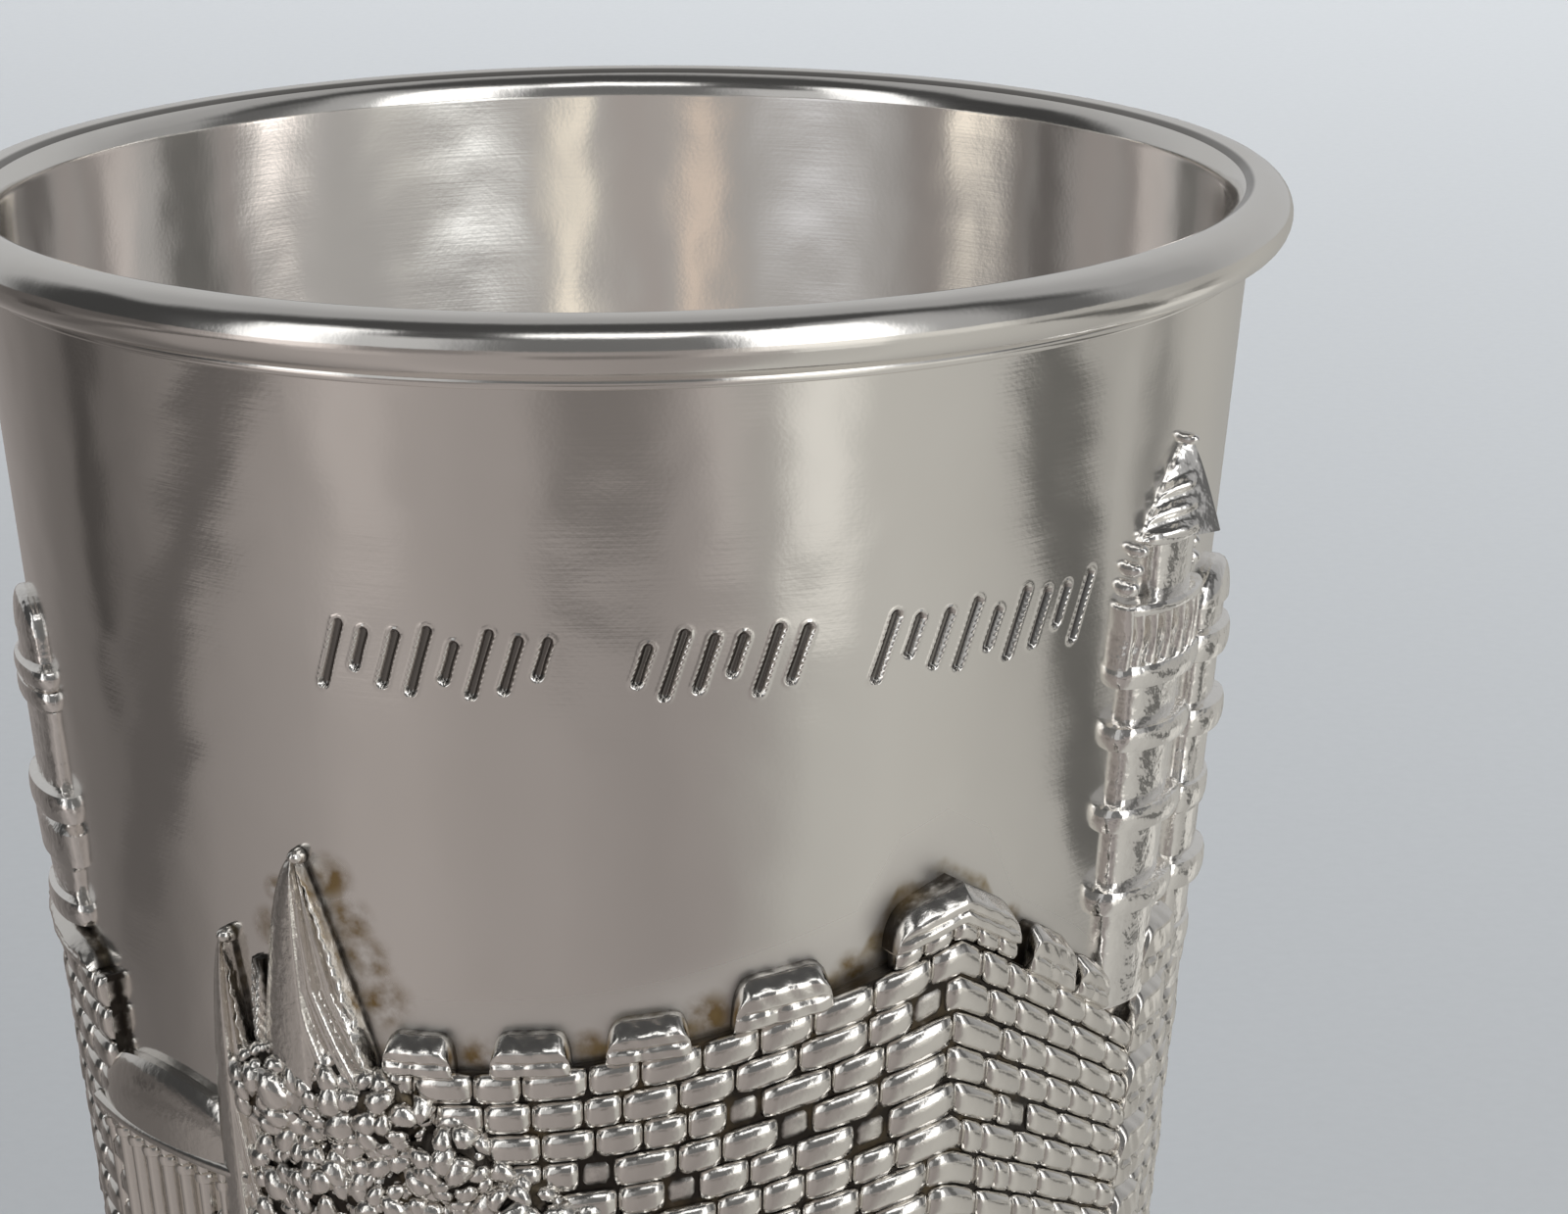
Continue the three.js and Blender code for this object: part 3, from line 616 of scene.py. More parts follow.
def one_stone():
    """A pillow one unit wide, tall and deep, with one flat face behind."""
    u, v = np.meshgrid(STONE_ACROSS, STONE_UPWARD)
    across = (1 - np.abs(u) ** 9) ** 0.4
    upward = (1 - np.abs(v) ** 5) ** 0.42
    top = across * upward
    x = 0.5 * u * (1 - 0.05 * np.abs(v) ** 4)
    y = 0.5 * v * (1 - 0.14 * np.abs(u) ** 6)
    across_count, rows = len(STONE_ACROSS), len(STONE_UPWARD)
    faces = [(row * across_count + column, row * across_count + column + 1,
              (row + 1) * across_count + column + 1, (row + 1) * across_count + column)
             for row in range(rows - 1) for column in range(across_count - 1)]
    low, high = range(across_count), range((rows - 1) * across_count, rows * across_count)
    left = range(0, rows * across_count, across_count)
    right = range(across_count - 1, rows * across_count, across_count)
    faces.append(tuple(left)[:-1] + tuple(high)[:-1] + tuple(right)[:0:-1] + tuple(low)[:0:-1])
    mesh = bpy.data.meshes.new("stone")
    mesh.from_pydata(np.stack([x, y, top], axis=-1).reshape(-1, 3).tolist(), [], faces)
    return bpy.data.objects.new("stone", mesh)


stone = one_stone()
print("a stone has", len(stone.data.polygons), "faces")

# %% Trees and what runs them


def new_tree(name, inputs):
    """A geometry tree that takes a geometry and the named inputs, each with its socket's kind."""
    tree = bpy.data.node_groups.new(name, "GeometryNodeTree")
    for label, kind in (("Geometry", "Geometry"), *inputs):
        tree.interface.new_socket(label, in_out="INPUT", socket_type="NodeSocket" + kind)
    tree.interface.new_socket("Geometry", in_out="OUTPUT", socket_type="NodeSocketGeometry")
    return tree, wire(tree, "NodeGroupInput").node.outputs


def run_tree(holder, tree, numbers):
    """The mesh that a tree makes of an object, with its named inputs set; the modifier goes again."""
    modifier = holder.modifiers.new("tree", "NODES")
    modifier.node_group = tree
    for item in tree.interface.items_tree:
        if item.in_out == "INPUT" and item.name in numbers:
            modifier[item.identifier] = numbers[item.name]
    evaluated = holder.evaluated_get(bpy.context.evaluated_depsgraph_get())
    mesh = bpy.data.meshes.new_from_object(evaluated)
    holder.modifiers.remove(modifier)
    return mesh


# %% The tree that lays and wraps the stones
FAN_NUMBERS = ("Top z", "Foot z", "Corner", "Rise", "Bow", "Left level", "Fall", "Right level",
               "Ridge", "Ridge spread")


def stones_tree():
    floats = [(name, "Float") for name in FAN_NUMBERS]
    tree, given = new_tree("stone_courses", [("Stone", "Object"), ("Silver", "Material"), *floats])
    seat = wire(tree, "GeometryNodeObjectInfo", {"Object": given["Stone"]}, out="Geometry")
    size = wire(tree, "GeometryNodeInputNamedAttribute", {"Name": "stone_size"}, data_type="FLOAT_VECTOR")
    laid = wire(tree, "GeometryNodeInstanceOnPoints",
                {"Points": given["Geometry"], "Instance": seat, "Scale": size})
    real = wire(tree, "GeometryNodeRealizeInstances", {0: laid})
    wrapped = wire(tree, "GeometryNodeSetPosition", {"Geometry": real, "Position": wrap_nodes(tree, given)})
    done = wire(tree, "GeometryNodeSetMaterial", {"Geometry": wrapped, "Material": given["Silver"]})
    wire(tree, "NodeGroupOutput", {0: done})
    return tree


def wrap_nodes(tree, given):
    """Turns (angle, share of the wall's height, relief) into a place on the cone."""
    math_node = "ShaderNodeMath"
    flat = wire(tree, "GeometryNodeInputPosition")
    angle = wire(tree, "ShaderNodeSeparateXYZ", {0: flat}, out="X")
    share, relief = angle.node.outputs["Y"], angle.node.outputs["Z"]
    tall = wire(tree, math_node, {0: given["Top z"], 1: given["Foot z"]}, operation="SUBTRACT")
    corner_z = wire(tree, math_node, {0: share, 1: tall, 2: given["Foot z"]}, operation="MULTIPLY_ADD")
    offset = wire(tree, math_node, {0: angle, 1: given["Corner"]}, operation="SUBTRACT")
    bow = wire(tree, math_node, {0: given["Bow"], 1: offset, 2: given["Rise"]}, operation="MULTIPLY_ADD")
    left_fan = wire(tree, "ShaderNodeMapRange", {"Value": corner_z, "From Min": given["Left level"],
                                                 "From Max": given["Top z"]})
    rising = wire(tree, math_node, {0: bow, 1: left_fan}, operation="MULTIPLY")
    right_fan = wire(tree, "ShaderNodeMapRange", {"Value": corner_z, "From Min": given["Right level"],
                                                  "From Max": given["Top z"]})
    falling = wire(tree, math_node, {0: given["Fall"], 1: right_fan}, operation="MULTIPLY")
    on_right = wire(tree, math_node, {0: offset, 1: 0.0}, operation="GREATER_THAN")
    slope = wire(tree, "ShaderNodeMix", {0: on_right, 2: rising, 3: falling})
    z = wire(tree, math_node, {0: slope, 1: offset, 2: corner_z}, operation="MULTIPLY_ADD")
    away = wire(tree, math_node, {0: offset}, operation="ABSOLUTE")
    nearness = wire(tree, "ShaderNodeMapRange", {"Value": away, "From Max": given["Ridge spread"],
                                                 "To Min": 1.0, "To Max": 0.0})
    raised = wire(tree, math_node, {0: nearness, 1: given["Ridge"], 2: relief}, operation="MULTIPLY_ADD")
    wall = wire(tree, math_node, {0: z, 1: WALL_SPREAD, 2: BASE_RADIUS}, operation="MULTIPLY_ADD")
    radius = wire(tree, math_node, {0: wall, 1: raised}, operation="ADD")
    turn = wire(tree, math_node, {0: angle}, operation="RADIANS")
    sine = wire(tree, math_node, {0: turn}, operation="SINE")
    cosine = wire(tree, math_node, {0: turn}, operation="COSINE")
    x = wire(tree, math_node, {0: radius, 1: sine}, operation="MULTIPLY")
    forward = wire(tree, math_node, {0: radius, 1: cosine}, operation="MULTIPLY")
    y = wire(tree, math_node, {0: forward, 1: -1.0}, operation="MULTIPLY")
    return wire(tree, "ShaderNodeCombineXYZ", {0: x, 1: y, 2: z})


courses_tree = stones_tree()
print("stone tree has", len(courses_tree.nodes), "nodes")

# %% [markdown]
# ## Laying the courses
# A mason's courses break joint: no upright joint stands over another. Each course starts at a
# random offset and its stones vary in length, from a fixed seed so the wall is the same every
# time. A few stones are sunk, as on the real relief, where they show as dark square hollows.

# %% Course layout
COURSE_PITCH = 1.735 * MM
JOINT = -0.04 * MM  # stones swell a little into each other, so that only a crease is left
RELIEF = 0.95 * MM
BED_RELIEF = 0.45 * MM
STONE_HOLLOW = (0.44, 0.6)  # relief in mm where a stone's flank turns from dark to rubbed
SUNK_ANGLE, SUNK_RELIEF = 3.2, 0.52 * MM
ALL_DARK = (50, 60)  # no relief is that high, so a piece marked so is dark all over
SEED = 613


def lay_courses(dice, stretches, courses, stone_angle, sunk=()):
    """Points (angle, share, 0) with sizes (angle, share, relief), course by course.

    stretches gives a course's lengths of wall as (left, right); a joint stands at each end.
    sunk lists the course and the angle of each stone that is set back."""
    joint = float(degrees_for(JOINT, 38 * MM))
    points, sizes, waiting = [], [], list(sunk)
    for course in range(courses):
        middle = (course + 0.5) / courses
        for left, right in stretches(course):
            edge = left
            while edge < right - 0.8:
                angle = min(stone_angle(edge) * dice.uniform(0.72, 1.3), right - edge)
                if edge == left and course % 2:
                    angle *= 0.55
                here = [spot for spot in waiting if spot[0] == course and spot[1] < edge + angle]
                hollow = len(here) > 0
                if hollow:
                    angle = SUNK_ANGLE
                    waiting.remove(here[0])
                elif right - edge - angle < 1.9:
                    angle = right - edge
                place = edge + angle / 2
                relief = SUNK_RELIEF if hollow else RELIEF * dice.uniform(0.94, 1.08)
                points.append((place, middle + dice.uniform(-0.015, 0.015) / courses, 0))
                tall = (1 - JOINT / COURSE_PITCH) / courses * dice.uniform(0.98, 1.03)
                sizes.append((angle - joint, tall, relief))
                edge += angle
    return points, sizes


def wrapped_stones(name, points, sizes, numbers, material, ridge=None):
    """Runs the stones tree over laid points and keeps the result as a plain mesh."""
    cloud = bpy.data.meshes.new(name + "_points")
    cloud.from_pydata(points, [], [])
    attribute = cloud.attributes.new("stone_size", "FLOAT_VECTOR", "POINT")
    attribute.data.foreach_set("vector", np.array(sizes, dtype=np.float32).ravel())
    holder = bpy.data.objects.new(name + "_points", cloud)
    bpy.context.scene.collection.objects.link(holder)
    mesh = run_tree(holder, courses_tree, {"Stone": stone, "Silver": material, **numbers})
    bpy.data.objects.remove(holder)
    mark_rubbed_and_shade(mesh, STONE_HOLLOW, ridge)
    return finish_piece(name, mesh, material, sharp=None)


# %% [markdown]
# ## The fortress
# Two faces of wall meet in a ridge at the front right. The left face's courses rise towards the
# corner and the right face's fall away from it, more steeply the higher they are, which is how
# a chaser draws a corner in perspective. Seven merlons stand on the wall's walk.

# %% Fortress numbers
FORT = {"Top z": FORT_TOP, "Foot z": FORT_FOOT, "Corner": FORT_CORNER, "Rise": FORT_RISE, "Bow": FORT_BOW,
        "Left level": 5 * MM, "Fall": FORT_FALL, "Right level": 8 * MM, "Ridge": 1.05 * MM,
        "Ridge spread": 15.0}
FORT_LEFT, FORT_RIGHT = -27.0, 61.0
FORT_COURSES = 16
CORNER_JOINTS = (35.3, 37.5)  # the first joints right of the corner, in turn


def fort_z(angle, share):
    """The same fan of courses as the tree's, for the bed and the merlons."""
    corner_z = FORT["Foot z"] + (FORT["Top z"] - FORT["Foot z"]) * share
    left_fan, right_fan = (np.clip((corner_z - FORT[level]) / (FORT["Top z"] - FORT[level]), 0, 1)
                           for level in ("Left level", "Right level"))
    offset = angle - FORT["Corner"]
    rising = (FORT["Rise"] + FORT["Bow"] * offset) * left_fan
    slope = np.where(offset < 0, rising, FORT["Fall"] * right_fan)
    return corner_z + slope * offset


def fort_ridge(angle):
    return FORT["Ridge"] * np.clip(1 - np.abs(angle - FORT["Corner"]) / FORT["Ridge spread"], 0, 1)


def fort_stone_angle(edge):
    """Stones look longer towards the corner and shorter just beyond it."""
    if edge < FORT["Corner"]:
        return 4.5 + 0.02 * (edge - FORT_LEFT)
    return 4.3 + 0.05 * (edge - FORT["Corner"])


def fort_stretches(course):
    joint = CORNER_JOINTS[course % 2]
    return [(FORT_LEFT, joint), (joint, FORT_RIGHT)]


dice = random.Random(SEED)
SUNK_STONES = [(14, 27.0), (13, 10.5), (12, -3.0), (12, 18.5), (11, 7.0), (11, 26.0), (11, 40.0), (9, 13.0)]
fort_points, fort_sizes = lay_courses(dice, fort_stretches, FORT_COURSES, fort_stone_angle, SUNK_STONES)
CORNER_LEFT, CORNER_RIGHT = 24.6, 38.4
CORNER_ROW = 1.1 * MM  # the corner tower stands one row of small stones higher
CORNER_STONES = 5
CORNER_HEIGHT = 1.65 * MM  # of the block that crowns it
width = (CORNER_RIGHT - CORNER_LEFT) / CORNER_STONES
row_share = CORNER_ROW / (FORT["Top z"] - FORT["Foot z"])
for place in range(CORNER_STONES):
    fort_points.append((CORNER_LEFT + width * (place + 0.5), 1 + row_share / 2, 0))
    fort_sizes.append((width * 0.97, row_share, RELIEF))
wrapped_stones("fortress_stones", fort_points, fort_sizes, FORT, stone_silver, fort_ridge)


def fort_bed(u, v):
    """What shows between the stones."""
    angle = FORT_LEFT + (FORT_RIGHT - FORT_LEFT) * u
    return angle, fort_z(angle, v), BED_RELIEF + fort_ridge(angle)


make_piece("fortress_bed", *sheet(60, 88, fort_bed), stone_silver, hollow=ALL_DARK)

# %% Merlons
MERLON_HEIGHT = 1.9 * MM
MERLON_SUNK = 0.25 * MM
MERLON_ANGLE = 7.4
MERLON_RELIEF = 1.2 * MM
MERLON_BEVEL = 0.72 * MM
BEVEL_PAINTED_SHADE = (0.18, 1.0)  # only a merlon's face is rubbed bright; its bevel is kept dark as painted shade, for the dark room it reflects
MERLON_LEAN = 0.6  # a merlon leans this share of the walk's own slope
# middle angle, width in degrees, height in mm
FORT_MERLONS = [(-19.8, 6.9, 1.75), (-9.0, 7.6, 1.75), (1.9, 7.9, 1.75), (14.3, 9.2, 2.15),
                (43.9, 7.4, 2.3), (51.0, 5.2, 1.9)]


def merlon(left, right, walk, height, relief, rows=22, columns=34):
    """A loaf of stone with round ends and a long bevel on top. walk and relief are functions of angle."""
    tall = height + MERLON_SUNK

    def shape(u, v):
        x = -np.cos(np.pi * u)
        angle = (left + right) / 2 + (right - left) / 2 * x
        outline = (1 - 0.999 * np.abs(x) ** 7) ** 0.45
        up = v * tall * outline
        bevel = np.clip((v * tall - (tall - MERLON_BEVEL)) / MERLON_BEVEL, 0, 1)
        foot = np.clip(1 - up / (0.25 * MM), 0, 1)
        fall = (0.7 * bevel ** 1.2 + 0.25 * np.abs(x) ** 11 + 0.2 * foot ** 2) * MM
        belly = 0.1 * MM * (1 - x * x) * np.sin(np.pi * v)
        waist = -0.16 * MM * np.exp(-((up - 0.36 * tall) / (0.12 * MM)) ** 2) * (1 - x ** 8)
        notch = -0.14 * MM * np.exp(-((x + 0.16) / 0.1) ** 2) * (up < 0.36 * tall)
        dents = 0.04 * MM * np.sin(angle * 2.1 + 3 * v) * np.sin(angle * 0.9 + 7 * v)
        return angle, walk(angle) - MERLON_SUNK + up, relief(angle) - fall + belly + waist + notch + dents
    return sheet(rows, columns, shape)


def fort_merlons():
    parts = []
    walk = lambda angle: fort_z(angle, 1.0)
    relief = lambda angle: np.maximum(MERLON_RELIEF, RELIEF + 0.2 * MM + fort_ridge(angle))
    for middle, width, height in FORT_MERLONS:
        lean = MERLON_LEAN if middle < FORT["Corner"] else 1.0
        own_walk = lambda angle: walk(middle) + lean * (walk(angle) - walk(middle)) + 0.1 * MM
        parts.append(merlon(middle - width / 2, middle + width / 2, own_walk, height * MM, relief))
    tower_walk = lambda angle: walk(angle) + CORNER_ROW
    corner_relief = lambda angle: RELIEF + 0.2 * MM + fort_ridge(angle)
    parts.append(merlon(CORNER_LEFT, CORNER_RIGHT, tower_walk, CORNER_HEIGHT, corner_relief,
                        rows=20, columns=44))
    return joined(parts)


# The merlons' and corner block's bevels stay dark: painted shade, not oxide.
make_piece("fortress_merlons", *fort_merlons(), stone_silver, hollow=BEVEL_PAINTED_SHADE, ridge=fort_ridge)

# %% [markdown]
# ## The plainer walls
# The side and back walls run level. They are laid by the same tree with no fan and no ridge.

# %% Back, left and pier walls
LEVEL = {"Corner": 0.0, "Rise": 0.0, "Bow": 0.0, "Left level": 1 * MM, "Fall": 0.0, "Right level": 1 * MM,
         "Ridge": 0.0, "Ridge spread": 1.0}
LEVEL_WALLS = [
    {"left": 66.0, "right": 249.0, "top": 44.6 * MM, "foot": 22.5 * MM, "angle": 6.8},
    {"left": -112.0, "right": -63.5, "top": 44.2 * MM, "foot": 24.0 * MM, "angle": 5.2},
]


def level_walls():
    pieces = []
    for number, wall in enumerate(LEVEL_WALLS, start=1):
        tall = wall["top"] - wall["foot"]
        courses = round(tall / COURSE_PITCH)
        points, sizes = lay_courses(dice, lambda course: [(wall["left"], wall["right"])], courses,
                                    lambda edge: wall["angle"])
        numbers = {**LEVEL, "Top z": wall["top"], "Foot z": wall["foot"]}
        pieces.append(wrapped_stones("town_wall_stones_%d" % number, points, sizes, numbers, stone_silver))
        width = wall["right"] - wall["left"]
        bed = sheet(12, int(width), lambda u, v: (wall["left"] + width * u, wall["foot"] + tall * v,
                                                  np.full_like(u, BED_RELIEF)))
        pieces.append(make_piece("town_wall_bed_%d" % number, *bed, stone_silver, hollow=ALL_DARK))
    return pieces


level_walls()

# %% Merlons and ledge of the plainer walls
BACK_MERLONS = [102 + 18 * place for place in range(7)]
LEDGE_LEFT, LEDGE_RIGHT, LEDGE_Z, LEDGE_HEIGHT = -112.0, -66.0, 44.3 * MM, 1.3 * MM


def band(left, right, low, height, relief, rows=8):
    """A raised band with rounded edges."""
    def shape(u, v):
        angle = left + (right - left) * u
        rounding = np.sqrt(np.clip(1 - np.abs(2 * v - 1) ** 3, 0, 1))
        return angle, low + height * v, 0.35 * MM + (relief - 0.35 * MM) * rounding
    return sheet(rows, max(4, int(right - left)), shape)


def plain_tops():
    walk = lambda angle: np.full_like(angle, LEVEL_WALLS[0]["top"])
    relief = lambda angle: np.full_like(angle, MERLON_RELIEF)
    parts = [merlon(middle - MERLON_ANGLE / 2, middle + MERLON_ANGLE / 2, walk, MERLON_HEIGHT, relief)
             for middle in BACK_MERLONS]
    ledge = lambda angle: np.full_like(angle, LEDGE_Z)
    parts.append(merlon(LEDGE_LEFT, LEDGE_RIGHT, ledge, LEDGE_HEIGHT, relief, columns=60))
    return joined(parts)


# These merlons' and the ledge's bevels stay dark the same way: painted shade.
make_piece("town_wall_tops", *plain_tops(), stone_silver, hollow=BEVEL_PAINTED_SHADE)

# %% The pier beside the fortress
PIER = (60.5, 68.5, 22.5 * MM, 47 * MM, 1.1 * MM)


def pier_blocks():
    """Large rounded blocks stacked in one column, the topmost a little wider."""
    left, right, foot, top, relief = PIER
    count = 7
    tall = (top - foot) / count
    parts = []
    for place in range(count):
        out = 0.12 * MM if place == count - 1 else 0.0
        bed = lambda angle: np.full_like(angle, foot + place * tall)
        face = lambda angle: np.full_like(angle, relief + out)
        parts.append(merlon(left - out / MM * 2, right, bed, tall - MERLON_SUNK - 0.1 * MM, face))
    return joined(parts)


make_piece("pier_stones", *pier_blocks(), stone_silver)

# %% [markdown]
# ## Minaret and towers
# These are half-round: each section across them is half an ellipse lying on the wall. A list of
# heights with half widths and relief heights is their profile, like a turned piece cut in half.
# The rings are short swellings in that profile, so they come out of a loop.

# %% Round drops


def round_sheet(rings, around, shape):
    """A closed cap: rings round a middle point, a wall at the edge and a flat root."""
    u, v = np.meshgrid(np.arange(around) / around, np.arange(1, rings + 1) / rings)
    angle, z, height = shape(u, v)
    front = on_wall(angle, z, height).reshape(-1, 3)
    root = on_wall(angle[-1], z[-1], np.full(around, -ROOT_DEPTH))
    middle = np.array(shape(np.zeros(1), np.zeros(1))).ravel()
    crown = on_wall(middle[0], middle[1], middle[2]).reshape(1, 3)
    heel = on_wall(middle[0], middle[1], -ROOT_DEPTH).reshape(1, 3)
    vertices = np.concatenate([crown, front, root, heel])
    faces = []
    last = len(vertices) - 1
    for step in range(around):
        following = (step + 1) % around
        faces.append((0, 1 + step, 1 + following))
        for ring in range(rings):
            low = 1 + ring * around
            faces.append((low + step, low + around + step, low + around + following, low + following))
        low = 1 + rings * around
        faces.append((last, low + following, low + step))
    return vertices, faces


def drop(angle, z, radius, relief):
    """A small round bead lying on the wall."""
    def shape(u, v):
        turn, lift = 2 * np.pi * u, 0.5 * np.pi * v
        out = radius * np.sin(lift)
        return (angle + degrees_for(out * np.cos(turn), z), z + out * np.sin(turn),
                relief * np.cos(lift) ** 0.8)
    return round_sheet(7, 14, shape)


# %% Half-round towers


def half_turned(angle, profile, columns=28, ribs=0, rib_depth=0.0, twist=0.0):
    """profile is (z, half width, relief), in metres. ribs are grooves across, turned by twist."""
    z_list, widths, reliefs = (np.array(column) for column in zip(*profile))
    rows = len(profile) - 1

    def shape(u, v):
        row = np.rint(v * rows).astype(int)
        z, width, relief = z_list[row], widths[row], reliefs[row]
        turn = np.pi * u
        sideways = -width * np.cos(turn)
        groove = rib_depth * (0.5 - 0.5 * np.cos(2 * np.pi * (ribs * u + twist * (z - z_list[0]))))
        rise = np.clip(relief - groove * np.sin(turn), 0.2 * MM, None) * np.sin(turn) ** 0.8
        return angle + degrees_for(sideways, z), z, rise + 0.05 * MM
    return sheet(rows, columns, shape)


def swelling(low, high, half_width, relief, steps=6):
    """A rounded band of the profile between two heights."""
    turns = np.linspace(0, np.pi, steps + 1)
    soft = np.sin(turns) ** 0.6
    heights = (low + high) / 2 - (high - low) / 2 * np.cos(turns)
    return [(z, half_width * (0.88 + 0.12 * s), relief * (0.8 + 0.2 * s)) for z, s in zip(heights, soft)]


def ringed_profile(foot, top, half_width, relief, rings, ring_height, ring_width, ring_relief):
    profile = [(foot, half_width, relief)]
    for z in rings:
        profile.append((z - ring_height / 2 - 0.05 * MM, half_width, relief))
        profile += swelling(z - ring_height / 2, z + ring_height / 2, ring_width, ring_relief)
        profile.append((z + ring_height / 2 + 0.05 * MM, half_width, relief))
    profile.append((top, half_width, relief))
    return profile


# %% The minaret
BRIGHT_FLANKS = (-0.1, 0.1)  # the cloth reached a tower's flanks almost down to the wall
MINARET = 58.6
MINARET_FOOT = 43 * MM
MINARET_RINGS = [48.5 * MM, 52.6 * MM, 56.6 * MM]
GALLERY_LOW = 59.6 * MM
GALLERY_TOP = 63.2 * MM
ROOF_LOW = 66.0 * MM
ROOF_TIP = 70.1 * MM
ROOF_ANGLE = 60.7


def gallery_parts():
    drum = [(z, 3.1 * MM, 0.8 * MM) for z in np.linspace(GALLERY_LOW, GALLERY_TOP, 4)]
    parts = [half_turned(MINARET, drum)]
    for low, high, width, relief in ((-0.5, 0.75, 3.6, 1.75), (3.0, 3.65, 3.55, 1.6)):
        parts.append(half_turned(MINARET, swelling(GALLERY_LOW + low * MM, GALLERY_LOW + high * MM,
                                                   width * MM, relief * MM), columns=40))
    posts = 9
    for post in range(posts):
        turn = math.pi * (post + 0.5) / posts
        middle = MINARET + float(degrees_for(-3.3 * MM * math.cos(turn), 61 * MM))
        relief = 0.5 * MM + 1.0 * MM * math.sin(turn)
        heights = np.linspace(GALLERY_LOW + 0.5 * MM, GALLERY_TOP - 0.2 * MM, 9)
        column = [(z, (0.24 + 0.1 * math.cos(7 * place)) * MM, relief) for place, z in enumerate(heights)]
        parts.append(half_turned(middle, column, columns=10))
    for side in (-1, 1):
        for place in range(3):
            angle = MINARET + (6.3 - 0.5 * place) * side
            z = GALLERY_TOP + (0.75 + 0.85 * place) * MM
            parts.append(drop(angle, z, (0.44 - 0.04 * place) * MM, 0.75 * MM))
    return parts


def roof_parts():
    """A steep cone of three tiers; the tiers fade out to the right, where the cone is smooth."""
    tall = ROOF_TIP - ROOF_LOW

    def shape(u, v):
        share = v ** 1.1
        turn = np.pi * u
        tier = 0.5 + 0.5 * np.cos(2 * np.pi * (4.2 * share - 1.3 * u))
        tiers = 0.5 * MM * tier * smooth_step(0.42, 0.3, u) * smooth_step(0.85, 0.55, share) * np.sin(turn)
        width = 3.25 * MM * (1 - share) ** 0.85 + 0.12 * MM
        relief = (2.0 * MM * (1 - share) ** 0.8 + 0.25 * MM) * (1 - np.abs(np.cos(turn)) ** 1.15)
        sideways = -width * np.cos(turn) * (1 + 0.03 * tier)
        z = ROOF_LOW + tall * share
        return ROOF_ANGLE + degrees_for(sideways, z) + 0.4 * share, z, relief + tiers + 0.1 * MM
    lip = swelling(ROOF_LOW - 0.3 * MM, ROOF_LOW + 0.35 * MM, 3.3 * MM, 1.3 * MM)
    return [sheet(46, 44, shape), half_turned(ROOF_ANGLE, lip, columns=40),
            drop(ROOF_ANGLE + 0.4, ROOF_TIP, 0.32 * MM, 0.75 * MM)]


def minaret_parts():
    shaft = ringed_profile(MINARET_FOOT, GALLERY_LOW, 2.4 * MM, 1.05 * MM, MINARET_RINGS,
                           1.3 * MM, 3.25 * MM, 1.75 * MM)
    drum = [(z, 1.95 * MM, 1.0 * MM) for z in np.linspace(GALLERY_TOP - 0.3 * MM, ROOF_LOW + 0.2 * MM, 4)]
    return joined([half_turned(MINARET, shaft, columns=40), half_turned((MINARET + ROOF_ANGLE) / 2, drum)]
                  + gallery_parts() + roof_parts())


make_piece("minaret", *minaret_parts(), tower_silver, hollow=BRIGHT_FLANKS)

# %% The round tower and the small turret


def dome_cap(angle, top, half_width, relief, rise):
    cap = [(top + rise * math.sin(turn), (half_width + 0.1 * MM) * math.cos(turn) + 0.05 * MM,
            relief * math.cos(turn) ** 0.6 + 0.1 * MM) for turn in np.linspace(0, math.pi / 2, 10)]
    return half_turned(angle, cap)


TOWER = 76.5
# z, half width and relief of each ring, in mm
TOWER_RINGS = [(43.6, 2.7, 1.1), (47.2, 3.2, 1.45), (51.0, 2.8, 1.15), (54.9, 3.1, 1.5), (58.6, 3.0, 1.35)]


def tower_parts():
    profile = [(41 * MM, 2.4 * MM, 0.9 * MM)]
    for z, width, relief in TOWER_RINGS:
        profile.append(((z - 0.85) * MM, 2.4 * MM, 0.9 * MM))
        profile += swelling((z - 0.75) * MM, (z + 0.75) * MM, width * MM, relief * MM)
        profile.append(((z + 0.85) * MM, 2.4 * MM, 0.9 * MM))
    profile.append((60.6 * MM, 2.4 * MM, 0.9 * MM))
    return joined([half_turned(TOWER, profile, columns=36),
                   dome_cap(TOWER, 60.5 * MM, 2.5 * MM, 1.0 * MM, 2.0 * MM)])


TURRET = -77.5


def turret_parts():
    """Two stages, the lower one wider, with bold rings between them and near the top."""
    profile = [(44.8 * MM, 2.6 * MM, 0.8 * MM), (45.6 * MM, 2.6 * MM, 0.8 * MM)]
    profile += swelling(45.7 * MM, 46.9 * MM, 4.0 * MM, 1.15 * MM)
    profile += [(47.0 * MM, 3.0 * MM, 0.8 * MM), (48.3 * MM, 3.2 * MM, 0.85 * MM),
                (48.8 * MM, 4.1 * MM, 1.1 * MM), (50.4 * MM, 4.2 * MM, 1.15 * MM),
                (50.8 * MM, 3.6 * MM, 0.9 * MM)]
    profile += swelling(50.9 * MM, 52.4 * MM, 4.3 * MM, 1.3 * MM)
    profile += [(52.5 * MM, 3.1 * MM, 0.8 * MM), (56.2 * MM, 3.1 * MM, 0.8 * MM)]
    profile += swelling(56.4 * MM, 57.4 * MM, 3.7 * MM, 1.1 * MM)
    profile += swelling(57.5 * MM, 58.4 * MM, 3.7 * MM, 1.1 * MM)
    profile += [(58.6 * MM, 2.8 * MM, 0.75 * MM), (60.0 * MM, 2.6 * MM, 0.75 * MM)]
    return joined([half_turned(TURRET, profile, columns=32),
                   dome_cap(TURRET, 59.8 * MM, 2.5 * MM, 0.7 * MM, 2.0 * MM)])


make_piece("round_tower", *tower_parts(), tower_silver, hollow=BRIGHT_FLANKS)
make_piece("turret", *turret_parts(), tower_silver, hollow=BRIGHT_FLANKS)

# %% [markdown]
# ## The domed hall
# A low smooth dome over a level cornice and a row of slim columns. The dome is one swelling
# sheet whose top edge is an arc; the columns are half-round bars set by a loop.

